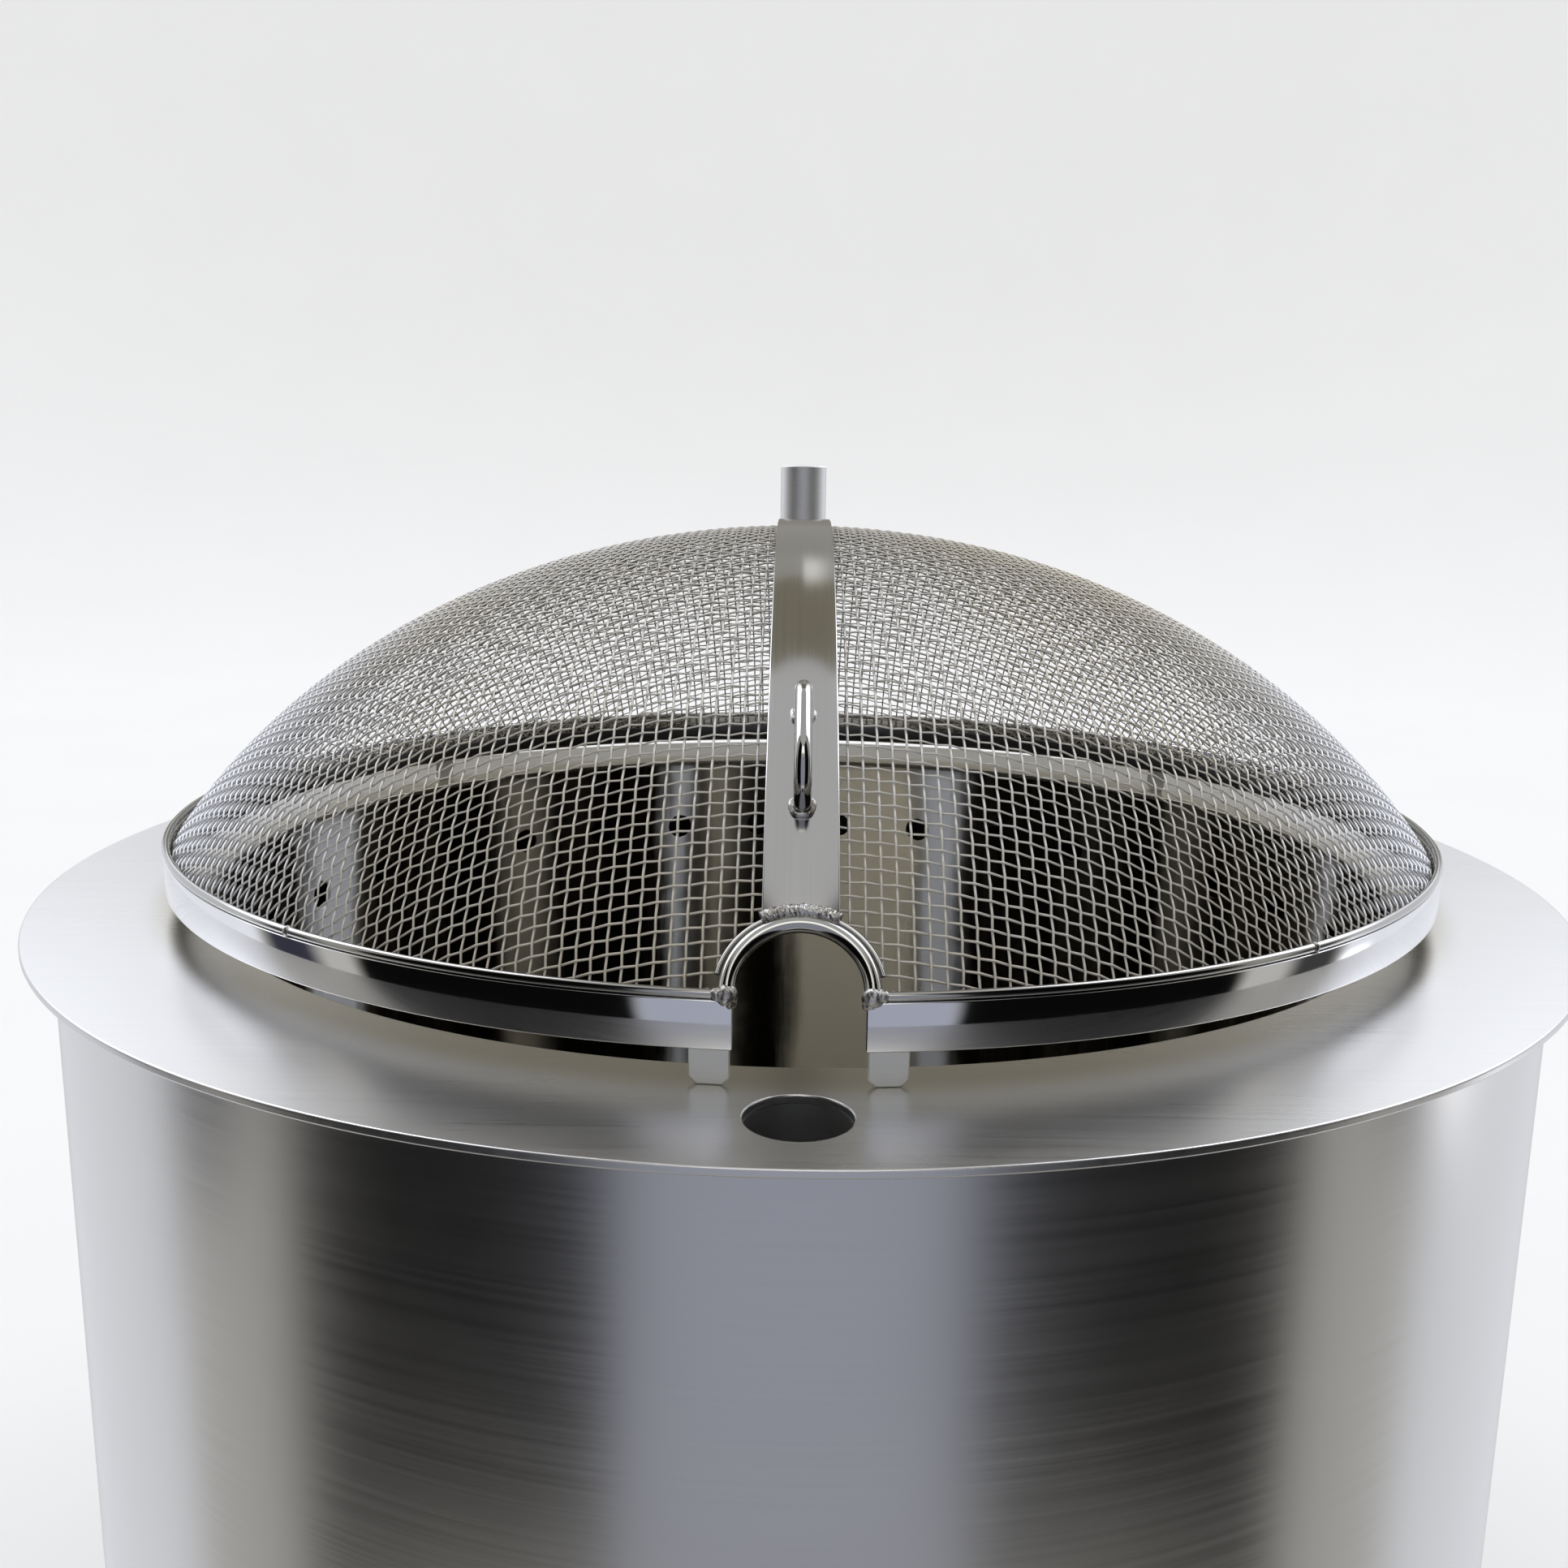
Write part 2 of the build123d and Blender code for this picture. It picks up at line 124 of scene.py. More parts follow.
class PitSettings(bpy.types.PropertyGroup):
    """Sizes and finishes that a user may change."""

    wire_radius: FloatProperty(
        name="Wire radius", description="Radius of the screen's woven wire",
        default=0.00047, min=0.0002, max=0.001, precision=5, subtype="DISTANCE", unit="LENGTH")
    wire_pitch: FloatProperty(
        name="Wire pitch", description="Distance between neighbouring wires of the weave",
        default=0.0052, min=0.003, max=0.02, precision=5, subtype="DISTANCE", unit="LENGTH")
    air_hole_radius: FloatProperty(
        name="Air hole radius", description="Radius of the round air holes in the firebox wall",
        default=0.008, min=0.003, max=0.010, precision=4, subtype="DISTANCE", unit="LENGTH")
    intake_radius: FloatProperty(
        name="Intake radius", description="Radius of the air intakes low in the outer wall",
        default=0.0125, min=0.005, max=0.016, precision=4, subtype="DISTANCE", unit="LENGTH")
    rod_sides: IntProperty(
        name="Rod sides", description="Number of faces around each bent rod", default=20, min=8, max=48)
    sheet_steel: FloatVectorProperty(
        name="Sheet steel", description="Colour of the satin sheet steel",
        default=(0.62, 0.615, 0.61), min=0, max=1, size=3, subtype="COLOR")
    polished_steel: FloatVectorProperty(
        name="Polished steel", description="Colour of the mirror-polished steel",
        default=(0.80, 0.80, 0.81), min=0, max=1, size=3, subtype="COLOR")
    wire_steel: FloatVectorProperty(
        name="Wire steel", description="Colour of the woven wire",
        default=(0.56, 0.54, 0.50), min=0, max=1, size=3, subtype="COLOR")
    heat_tint: FloatVectorProperty(
        name="Heat tint", description="Straw tint of steel that has been hot",
        default=(0.92, 0.84, 0.65), min=0, max=1, size=3, subtype="COLOR")
    soot: FloatVectorProperty(
        name="Soot", description="Colour of soot in the firebox",
        default=(0.035, 0.030, 0.024), min=0, max=1, size=3, subtype="COLOR")
    floor: FloatVectorProperty(
        name="Floor", description="Colour of the plain floor",
        default=(0.42, 0.42, 0.42), min=0, max=1, size=3, subtype="COLOR")


def settings():
    """The sizes and colours of this scene."""
    return bpy.context.scene.fire_pit


# ---------------------------------------------------------------- surfaces

def grid_quads(rows, cols, close_rows=False, close_cols=False):
    """Quads that join a grid of rows x cols points, each to its right and lower neighbours."""
    row = np.arange(rows if close_rows else rows - 1)
    col = np.arange(cols if close_cols else cols - 1)
    row, col = np.meshgrid(row, col, indexing="ij")
    row_next, col_next = (row + 1) % rows, (col + 1) % cols
    corners = [row * cols + col, row * cols + col_next, row_next * cols + col_next, row_next * cols + col]
    return np.stack(corners, -1).reshape(-1, 4)


def capped_quads(rows, cols):
    """Quads of a grid whose columns close into a tube, with a face on each end."""
    return grid_quads(rows, cols, False, True).tolist() + [
        list(range(cols)), list(range((rows - 1) * cols, rows * cols))]


def joined(parts):
    """One vertex array and one face list from several (vertices, faces) parts."""
    points, faces, start = [], [], 0
    for verts, quads in parts:
        points.append(np.asarray(verts, float).reshape(-1, 3))
        faces += (np.asarray(quads) + start).tolist() if isinstance(quads, np.ndarray) else [
            [i + start for i in face] for face in quads]
        start += len(points[-1])
    return np.concatenate(points), faces


def turned(points, angle):
    """Points turned about the Z axis by an angle in radians."""
    c, s = cos(angle), sin(angle)
    return points @ np.array([[c, s, 0], [-s, c, 0], [0, 0, 1]])


def unit(vectors):
    """Vectors divided by their length."""
    return vectors / np.linalg.norm(vectors, axis=-1, keepdims=True)


def ripple(points, size, seed):
    """Smooth uneven values near -1 to 1: a sum of sines of the coordinates along seeded directions."""
    rng = np.random.default_rng(seed)
    directions = unit(rng.normal(size=(7, 3)))
    waves = points @ directions.T * (2 * pi / size) * rng.uniform(0.6, 1.7, 7) + rng.uniform(0, 2 * pi, 7)
    return np.sin(waves).sum(-1) / 3.2


def circle_section(radius, sides):
    """Circle as (across, out) pairs."""
    angle = np.arange(sides) * 2 * pi / sides
    return np.stack([np.cos(angle), np.sin(angle)], -1) * radius


def rounded_section(width, height, corner, steps=3):
    """Rectangle centred on 0 whose corners are quarter circles, as (across, out) pairs."""
    quarter = np.linspace(0, pi / 2, steps + 1)
    points = []
    for turn, (sx, sy) in enumerate(((1, 1), (-1, 1), (-1, -1), (1, -1))):
        centre = np.array([sx * (width / 2 - corner), sy * (height / 2 - corner)])
        angle = quarter + turn * pi / 2
        points.append(centre + corner * np.stack([np.cos(angle), np.sin(angle)], -1))
    return np.concatenate(points)


def carried(path, out, section, closed=False):
    """A closed section carried along a path: point = path + across * side + out * normal.
    The side is the cross product of the path's direction and the given outward vector."""
    ahead = unit(np.roll(path, -1, 0) - np.roll(path, 1, 0) if closed else np.gradient(path, axis=0))
    out = np.broadcast_to(out, path.shape)
    side = unit(np.cross(ahead, out))
    out = np.cross(side, ahead)
    rings = path[:, None] + section[None, :, :1] * side[:, None] + section[None, :, 1:] * out[:, None]
    rows, cols = rings.shape[:2]
    return rings.reshape(-1, 3), grid_quads(rows, cols, True, True) if closed else capped_quads(rows, cols)


def lathe(profile, sides, centre=(0.0, 0.0)):
    """Profile of (radius, height) pairs turned once about an upright axis; ends on the axis close it."""
    profile = np.asarray(profile, float)
    angle = np.arange(sides) * 2 * pi / sides
    x = centre[0] + profile[:, :1] * np.cos(angle)
    y = centre[1] + profile[:, :1] * np.sin(angle)
    z = np.broadcast_to(profile[:, 1:], x.shape)
    return np.stack([x, y, z], -1).reshape(-1, 3), grid_quads(len(profile), sides, False, True)


def hole_patch(left, right, low, high, columns, rows, centre, radius, to_plane):
    """Sheet around a round hole: straight lines from the cell's border to the hole's rim.
    The rim point lies in the border point's direction as seen from the hole's centre."""
    u = np.linspace(left, right, columns + 1)
    v = np.linspace(low, high, rows + 1)
    border = np.concatenate([
        np.stack([u[:-1], np.full(columns, low)], -1), np.stack([np.full(rows, right), v[:-1]], -1),
        np.stack([u[:0:-1], np.full(columns, high)], -1), np.stack([np.full(rows, left), v[:0:-1]], -1)])
    border = to_plane(border)
    rim = centre + radius * unit(border - centre)
    blend = np.linspace(0, 1, HOLE_LOOPS)[:, None, None] ** 0.8
    flat = border * (1 - blend) + rim * blend
    return flat, grid_quads(HOLE_LOOPS, len(border), False, True)


def perforated_wall(radius, z_low, z_high, rows_of_holes):
    """Cylinder wall with rows of round holes, as an open sheet.  Each row is a ring of cells with one
    hole each, and plain rings of quads fill the heights between.  Flat (arc length, height) is wrapped
    round the axis: x = R cos(s / R), y = R sin(s / R)."""
    step = 2 * pi * radius / WALL_COLUMNS
    parts, level = [], z_low
    for (count, z_hole, first), hole_r in rows_of_holes:
        columns = WALL_COLUMNS // count
        reach = min(columns * step / 2, 2 * hole_r)
        parts.append(plain_ring(radius, level, z_hole - reach))
        for i in range(count):
            s = radius * radians(first) + i * columns * step
            flat, quads = hole_patch(
                s - columns * step / 2, s + columns * step / 2, z_hole - reach, z_hole + reach,
                columns, columns, np.array([s, z_hole]), hole_r, lambda border: border)
            parts.append((wrapped(flat, radius), quads))
        level = z_hole + reach
    parts.append(plain_ring(radius, level, z_high))
    return parts


def wrapped(flat, radius):
    """Flat (arc length, height) pairs laid on a cylinder."""
    angle = flat[..., 0] / radius
    return np.stack([radius * np.cos(angle), radius * np.sin(angle), flat[..., 1]], -1).reshape(-1, 3)


def plain_ring(radius, low, high):
    """Plain cylinder ring of quads between two heights."""
    rows = max(2, ceil((high - low) / 0.03) + 1)
    angle = np.arange(WALL_COLUMNS) * 2 * pi / WALL_COLUMNS
    heights = np.linspace(low, high, rows)
    flat = np.stack(np.broadcast_arrays(angle * radius, heights[:, None]), -1)
    return wrapped(flat, radius), grid_quads(rows, WALL_COLUMNS, False, True)


def holed_ring(inner, outer, z, hole_radius, hole_circle):
    """Flat ring with a round hole at the front and one at the back, as an open sheet.
    Flat (angle, radius) pairs are wrapped round: x = radius * cos(angle), y = radius * sin(angle)."""
    step = 2 * pi / RING_COLUMNS
    parts = []
    radii = np.linspace(inner, outer, RING_ROWS + 1)

    def polar(border):
        return np.stack([border[:, 1] * np.cos(border[:, 0]), border[:, 1] * np.sin(border[:, 0])], -1)

    for middle in (-pi / 2, pi / 2):
        edge = HOLE_COLUMNS / 2 * step
        centre = np.array([0.0, hole_circle * np.sign(middle)])
        flat, quads = hole_patch(
            middle - edge, middle + edge, inner, outer, HOLE_COLUMNS, RING_ROWS, centre, hole_radius, polar)
        parts.append((np.concatenate([flat, np.full(flat.shape[:2] + (1,), z)], -1).reshape(-1, 3), quads))
        angle = middle + edge + np.arange(RING_COLUMNS // 2 - HOLE_COLUMNS + 1) * step
        x, y = radii[:, None] * np.cos(angle), radii[:, None] * np.sin(angle)
        parts.append((np.stack([x, y, np.full_like(x, z)], -1).reshape(-1, 3), grid_quads(*x.shape)))
    return parts


# ---------------------------------------------------------------- dome

def dome_gradient(points):
    """Outward normal of the dome: the gradient of (r / A)^2 + (z / B)^2, made unit length."""
    return unit((points - DOME_CENTRE) * DOME_SCALE)


def meridian(radius):
    """Height of the dome at a radius: centre + B * sqrt(1 - (radius / A)^2)."""
    return DOME_CENTRE_Z + DOME_B * np.sqrt(1 - (radius / DOME_A) ** 2)


def arc_length_radii(pitch, reach):
    """Radii of points spaced one pitch apart along the dome's meridian, from its top outwards.
    The meridian's length is summed over fine steps, and the radii are read back from it."""
    radius = np.sin(np.linspace(0, pi / 2, MERIDIAN_STEPS)) * reach
    length = np.concatenate([[0], np.cumsum(np.hypot(np.diff(radius), np.diff(meridian(radius))))])
    return np.interp(np.arange(int(length[-1] / pitch) + 1) * pitch, length, radius)


def woven_net(pitch):
    """Crossing points of a square weave draped over a quarter of the dome.
    Two wires start on the X and Y meridians.  Every further crossing lies on the dome, one pitch from
    its neighbour on each side; the three equations are solved by Newton's method, one diagonal at a time."""
    along = arc_length_radii(pitch, NET_REACH)
    count = len(along)
    net = np.full((count, count, 3), np.nan)
    zeros = np.zeros(count)
    net[:, 0] = np.stack([along, zeros, meridian(along)], -1)
    net[0, :] = np.stack([zeros, along, meridian(along)], -1)
    for diagonal in range(2, 2 * count - 1):
        i = np.arange(max(1, diagonal - count + 1), min(diagonal - 1, count - 1) + 1)
        j = diagonal - i
        left, below = net[i - 1, j], net[i, j - 1]
        guess = left + below - net[i - 1, j - 1]
        usable = np.isfinite(guess).all(-1) & (np.hypot(guess[:, 0], guess[:, 1]) < NET_EDGE)
        i, j, left, below, guess = i[usable], j[usable], left[usable], below[usable], guess[usable]
        if not len(i):
            continue
        for _ in range(NEWTON_STEPS):
            from_left, from_below, local = guess - left, guess - below, guess - DOME_CENTRE
            rows = np.stack([2 * from_left, 2 * from_below, 2 * local * DOME_SCALE], 1)
            miss = np.stack([(from_left**2).sum(-1) - pitch**2, (from_below**2).sum(-1) - pitch**2,
                             (local**2 * DOME_SCALE).sum(-1) - 1], -1)
            guess = guess - np.linalg.solve(rows, miss[..., None])[..., 0]
        net[i, j] = guess
    return net


def whole_net(pitch):
    """The quarter net mirrored to both sides, as a square grid with its middle at the dome's top."""
    quarter = woven_net(pitch)
    half = np.concatenate([(quarter * np.array([-1, 1, 1]))[:0:-1], quarter])
    return np.concatenate([(half * np.array([1, -1, 1]))[:, :0:-1], half], 1)


def inside_notch(points, half_width):
    """True where points lie inside the arch's half circle, or below it, at the front of the dome."""
    across, rise = points[..., 0], (points - ARCH_FOOT) @ ARCH_RISE
    round_part = np.hypot(across, rise) < half_width
    straight_part = (np.abs(across) < half_width) & (rise < 0)
    return (points[..., 1] < 0) & (round_part | straight_part)


def woven_wires(net, over, radius):
    """Wires along the rows of a net.  Each crossing is lifted by over * radius along the dome's normal,
    the middle between two crossings by none, and a four-sided section is carried along every row."""
    lifted = net + dome_gradient(net) * (over * radius)[..., None]
    middle = (net[:, 1:] + net[:, :-1]) / 2
    rows, cols = net.shape[:2]
    line = np.full((rows, 2 * cols - 1, 3), np.nan)
    line[:, ::2], line[:, 1::2] = lifted, middle
    out = dome_gradient(line)
    across = np.hypot(line[..., 0], line[..., 1])
    shrink = np.minimum(1, MESH_EDGE_R / np.maximum(across, 1e-9))
    line[..., :2] *= shrink[..., None]
    keep = np.isfinite(line).all(-1) & (line[..., 2] > FLANGE_TOP + MESH_RISE)
    keep &= ~inside_notch(line, BINDING_HALF)
    ahead = np.empty_like(line)
    ahead[:, 1:-1] = line[:, 2:] - line[:, :-2]
    ahead[:, 0], ahead[:, -1] = line[:, 1] - line[:, 0], line[:, -1] - line[:, -2]
    step = np.diff(line, axis=1)
    forward = np.concatenate([step, step[:, -1:]], 1)
    backward = np.concatenate([step[:, :1], step], 1)
    ahead = np.where(np.isfinite(ahead), ahead, np.where(np.isfinite(forward), forward, backward))
    ahead = unit(ahead)
    side = unit(np.cross(ahead, out))
    up = np.cross(side, ahead)
    ring = np.stack([line + radius * up, line + radius * side, line - radius * up, line - radius * side], 2)
    index = np.arange(ring[..., 0].size).reshape(ring.shape[:3])
    run = keep[:, 1:] & keep[:, :-1]
    near, far = index[:, :-1][run], index[:, 1:][run]
    quads = np.stack([near, np.roll(near, -1, 1), np.roll(far, -1, 1), far], -1).reshape(-1, 4)
    blank = np.zeros((rows, 1), bool)
    starts = np.concatenate([blank, run], 1) < np.concatenate([run, blank], 1)
    stops = np.concatenate([blank, run], 1) > np.concatenate([run, blank], 1)
    quads = np.concatenate([quads, index[starts][:, ::-1], index[stops]])
    used, quads = np.unique(quads, return_inverse=True)
    return ring.reshape(-1, 3)[used], quads.reshape(-1, 4)


# ---------------------------------------------------------------- meshes

def make_piece(name, parts, material, body, nodes=(), sharp=35.0, outward=None, merge=True):
    """Mesh object from parts, with its material, its body and the CAD nodes that it stands for."""
    verts, faces = joined(parts)
    mesh = bpy.data.meshes.new(name)
    mesh.from_pydata(verts.tolist(), [], faces)
    if merge:
        work = bmesh.new()
        work.from_mesh(mesh)
        bmesh.ops.remove_doubles(work, verts=work.verts, dist=WELD_SPACING)
        bmesh.ops.recalc_face_normals(work, faces=work.faces)
        if outward is not None:
            work.faces.ensure_lookup_table()
            face = work.faces[0]
            if face.normal.dot(outward(face.calc_center_median())) < 0:
                bmesh.ops.reverse_faces(work, faces=work.faces)
        work.to_mesh(mesh)
        work.free()
    mesh.polygons.foreach_set("use_smooth", np.ones(len(mesh.polygons), bool))
    if sharp:
        mesh.set_sharp_from_angle(angle=radians(sharp))
    mesh.materials.append(material)
    piece = bpy.data.objects.new(name, mesh)
    bpy.context.scene.collection.objects.link(piece)
    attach(piece, body)
    if nodes:
        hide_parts(*nodes)
    return piece


def screen_bar(name, path, out, section, finish, nodes):
    """A bar or rod of the spark screen: a section carried along a path."""
    make_piece(name, [carried(path, out, section)], finish_named(finish), "spark_screen", nodes, sharp=60)


def screen_weld(name, parts, nodes):
    """Lumpy weld metal on the spark screen."""
    make_piece(name, parts, finish_named("weld"), "spark_screen", nodes, sharp=None)


def thicken(piece, thickness, edge=0.0004):
    """Gives a sheet its thickness behind its face, and breaks its edges."""
    solid = piece.modifiers.new("Thickness", "SOLIDIFY")
    solid.thickness, solid.offset = thickness, -1
    bevel = piece.modifiers.new("Broken edges", "BEVEL")
    bevel.width, bevel.segments = edge, 2
    bevel.limit_method, bevel.angle_limit = "ANGLE", radians(50)
    bevel.harden_normals = True


def radial(point):
    """Outward direction from the pit's axis."""
    direction = point.copy()
    direction.z = 0
    return direction.normalized()


def upward(point):
    """Straight up."""
    direction = point.copy()
    direction.x, direction.y, direction.z = 0, 0, 1
    return direction


# ---------------------------------------------------------------- shaders

# Upright streaks on the firebox wall: (middle, half width) in radians from the back, to the right, and strength.
OLIVE_STREAKS = ((0.13, 0.15, 1.0), (-0.19, 0.04, 0.65), (-0.69, 0.05, 0.55), (0.98, 0.05, 0.3),
                 (2.4, 0.12, 0.8), (-2.6, 0.10, 0.8))
# The second table holds painted reflections: bright bluish upright streaks that stand for the studio's light
# mirrored in the wall.
REFLECTION_STREAKS = ((-0.30, 0.028, 1.0), (0.35, 0.060, 1.0), (-1.24, 0.08, 1.0), (1.45, 0.025, 0.8),
                  (2.9, 0.06, 1.0), (-2.1, 0.07, 1.0))


MIX_FIRST, MIX_SECOND, MIX_RESULT = 6, 7, 2     # the Mix node's colour sockets


class Signal:
    """A shader socket that takes part in sums and products."""

    def __init__(self, graph, socket):
        self.graph, self.socket = graph, socket

    def __add__(self, other):
        return self.graph.math("ADD", self, other)

    def __sub__(self, other):
        return self.graph.math("SUBTRACT", self, other)

    def __rsub__(self, other):
        return self.graph.math("SUBTRACT", other, self)

    def __mul__(self, other):
        return self.graph.math("MULTIPLY", self, other)

    __radd__, __rmul__ = __add__, __mul__

    def between(self, low, high):
        """0 below low, 1 above high, smooth in between."""
        node = self.graph.node("ShaderNodeMapRange", {"interpolation_type": "SMOOTHSTEP"},
                               {"Value": self, "From Min": low, "From Max": high})
        return node["Result"]


class Made:
    """A made node whose outputs are read by name or place as signals."""

    def __init__(self, graph, node):
        self.graph, self.node = graph, node

    def __getitem__(self, name):
        return Signal(self.graph, self.node.outputs[name])


class Graph:
    """A node tree under construction."""

    def __init__(self, tree):
        self.tree = tree

    def node(self, kind, fixed, inputs):
        """Makes a node, sets its settings, then its socket values or links."""
        node = self.tree.nodes.new(kind)
        for key, value in fixed.items():
            setattr(node, key, value)
        for key, value in inputs.items():
            if isinstance(value, Signal):
                self.tree.links.new(value.socket, node.inputs[key])
            else:
                node.inputs[key].default_value = value
        return Made(self, node)

    def math(self, operation, first, second=0.0):
        """One Math node.  An operation on one value takes no notice of the second."""
        return self.node("ShaderNodeMath", {"operation": operation}, {0: first, 1: second})["Value"]

    def split(self, vector):
        """The three parts of a vector."""
        made = self.node("ShaderNodeSeparateXYZ", {}, {"Vector": vector})
        return made["X"], made["Y"], made["Z"]

    def window(self, value, low, high, soft):
        """1 from low to high and 0 outside, with edges that are 2 * soft wide."""
        return value.between(low - soft, low + soft) * (1 - value.between(high - soft, high + soft))

    def mix(self, factor, first, second):
        """Colour that runs from first to second as the factor goes from 0 to 1."""
        first, second = (c if isinstance(c, Signal) else (*c, 1) for c in (first, second))
        made = self.node("ShaderNodeMix", {"data_type": "RGBA"},
                         {0: factor, MIX_FIRST: first, MIX_SECOND: second})
        return made[MIX_RESULT]


class Finish(Graph):
    """A material under construction: one Principled shader and what feeds it."""

    def __init__(self, name, color, metallic, roughness):
        self.material = bpy.data.materials.new(name)
        self.material.use_nodes = True
        super().__init__(self.material.node_tree)
        self.shader = self.tree.nodes["Principled BSDF"]
        self.shader.inputs["Base Color"].default_value = (*color, 1)
        self.shader.inputs["Metallic"].default_value = metallic
        self.shader.inputs["Roughness"].default_value = roughness
        self.place = self.node("ShaderNodeTexCoord", {}, {})["Object"]

    def stretched(self, x, y, z):
        """Object coordinates scaled per axis."""
        return self.node("ShaderNodeMapping", {}, {"Vector": self.place, "Scale": (x, y, z)})["Vector"]

    def noise(self, vector, scale, detail=3.0, roughness=0.5):
        """Noise value near 0.5 on average."""
        return self.node("ShaderNodeTexNoise", {}, {
            "Vector": vector, "Scale": scale, "Detail": detail, "Roughness": roughness})["Fac"]

    def within(self, radius, soft):
        """1 nearer the pit's axis than the radius, falling to 0 over the last soft metres before it."""
        x, y, _ = self.split(self.place)
        return 1 - self.math("SQRT", x * x + y * y).between(radius - soft, radius)

    def feed(self, socket, signal):
        """Links a signal to a socket of the shader."""
        self.tree.links.new(signal.socket, self.shader.inputs[socket])

    def bump(self, signal, strength, distance):
        """Roughens the surface by a height signal."""
        made = self.node("ShaderNodeBump", {}, {"Height": signal, "Strength": strength, "Distance": distance})
        self.feed("Normal", made["Normal"])


def scaled(color, factor):
    """A colour made darker or lighter."""
    return tuple(min(1.0, c * factor) for c in color)


def satin_steel(name, color, grain, roughness, smudge=0.05, contrast=0.10, heated_within=None):
    """Brushed sheet: fine stretched noise for the grain, broad noise for handling marks.
    The heat has turned it straw inside a radius, where one is given."""
    finish = Finish(name, color, 1.0, roughness)
    lines = finish.noise(finish.stretched(*grain), 1.0, 4.0, 0.65)
    broad = finish.noise(finish.place, 9.0, 4.0, 0.55)
    tone = finish.mix(lines * 0.6 + broad * 0.4, scaled(color, 1 - contrast), scaled(color, 1 + contrast))
    if heated_within:
        heated = finish.within(heated_within, 0.02) * (broad * 0.4 + 0.65)
        tone = finish.mix(heated, tone, scaled(settings().heat_tint, 0.48))
    finish.feed("Base Color", tone)
    finish.feed("Roughness", lines * 0.10 + broad * (2 * smudge) + (roughness - 0.05 - smudge))
    finish.bump(lines, 0.35, 0.00002)
    return finish.material


def mirror_steel(name, color, roughness, wave, smoked_within=None):
    """Polished bar: slow waves of the buffing wheel, hairline scratches and faint haze.
    It is smoky inside a radius, where one is given."""
    finish = Finish(name, color, 1.0, roughness)
    haze = finish.noise(finish.place, 22.0, 4.0, 0.6)
    lines = finish.noise(finish.stretched(30, 30, 1500), 1.0, 3.0, 0.6)
    waves = finish.noise(finish.stretched(1, 1, 2.5), 14.0, 1.0, 0.4)
    tone = finish.mix(haze, scaled(color, 0.94), scaled(color, 1.06))
    if smoked_within:
        smoked = finish.within(smoked_within, 0.0002) * (haze * 0.5 + 0.6)
        tone = finish.mix(smoked, tone, scaled(settings().heat_tint, 0.6))
    finish.feed("Base Color", tone)
    finish.feed("Roughness", haze.between(0.5, 0.8) * 0.04 + lines * 0.03 + (roughness - 0.02))
    finish.bump(waves + lines * 0.02, 0.5, wave)
    return finish.material


def wire_steel():
    """Woven wire: steel with slightly straw-coloured stretches, and a painted highlight that makes the wire
    brighter and bluish white towards the dome's left and right sides.
    """
    values = settings()
    finish = Finish("woven_wire", values.wire_steel, 0.6, 0.34)
    patches = finish.noise(finish.place, 5.0, 3.0, 0.6)
    fine = finish.noise(finish.place, 420.0, 2.0, 0.6)
    warm = tuple(c * t for c, t in zip(values.wire_steel, (1.0, 0.95, 0.84)))
    # Painted highlight: bluish white towards the dome's left and right sides, standing for the side light that the
    # wires catch.
    lit_flank = finish.math("ABSOLUTE", finish.split(finish.place)[0]).between(0.13, 0.28)
    tint = finish.mix(patches.between(0.40, 0.65), scaled(values.wire_steel, 1.08), warm)
    tint = finish.mix(lit_flank * 0.85, tint, (0.90, 0.92, 0.98))
    finish.feed("Base Color", finish.mix(fine * 0.25, tint, scaled(values.wire_steel, 0.7)))
    finish.feed("Roughness", fine * 0.16 + patches * 0.10 + 0.28)
    return finish.material


def firebox_steel():
    """Firebox wall: smoke-darkened sheet, with olive upright streaks where heat burned the soot off, and bright
    bluish upright streaks that are painted reflections of the studio's light.
    """
    values = settings()
    finish = Finish("firebox_sheet", values.soot, 1.0, 0.3)
    x, y, _ = finish.split(finish.place)
    angle = finish.math("ARCTAN2", x, y)
    drips = finish.noise(finish.stretched(30, 30, 2.5), 1.0, 5.0, 0.62)
    cloud = finish.noise(finish.place, 11.0, 5.0, 0.6)
    wavy = angle + (drips - 0.5) * 0.16 + (cloud - 0.5) * 0.10
    color = finish.mix(drips.between(0.40, 0.72), values.soot, scaled(values.heat_tint, 0.21))
    # Sum of the olive heat-tint streaks and the painted reflection streaks; the wall is made less metallic there.
    tint_and_reflection = 0.0
    for middle, half, strength in OLIVE_STREAKS:
        streak = finish.window(wavy, middle - half, middle + half, 0.05) * strength
        color, tint_and_reflection = finish.mix(streak * 0.92, color, values.heat_tint), streak * 0.85 + tint_and_reflection
    # Painted reflections: bright bluish upright streaks of studio light, which are also made less metallic so they
    # read brighter.
    for middle, half, strength in REFLECTION_STREAKS:
        streak = finish.window(wavy, middle - half, middle + half, 0.035) * strength
        color, tint_and_reflection = finish.mix(streak * 0.95, color, (0.93, 0.95, 1.0)), streak * 0.9 + tint_and_reflection
    finish.feed("Metallic", finish.math("MAXIMUM", 1 - tint_and_reflection, 0.12))
    finish.feed("Base Color", finish.mix(cloud.between(0.55, 0.8) * 0.35, color, values.soot))
    finish.feed("Roughness", drips * 0.16 + cloud * 0.14 + 0.16)
    finish.bump(cloud * 0.7 + drips * 0.3, 0.3, 0.0003)
    return finish.material


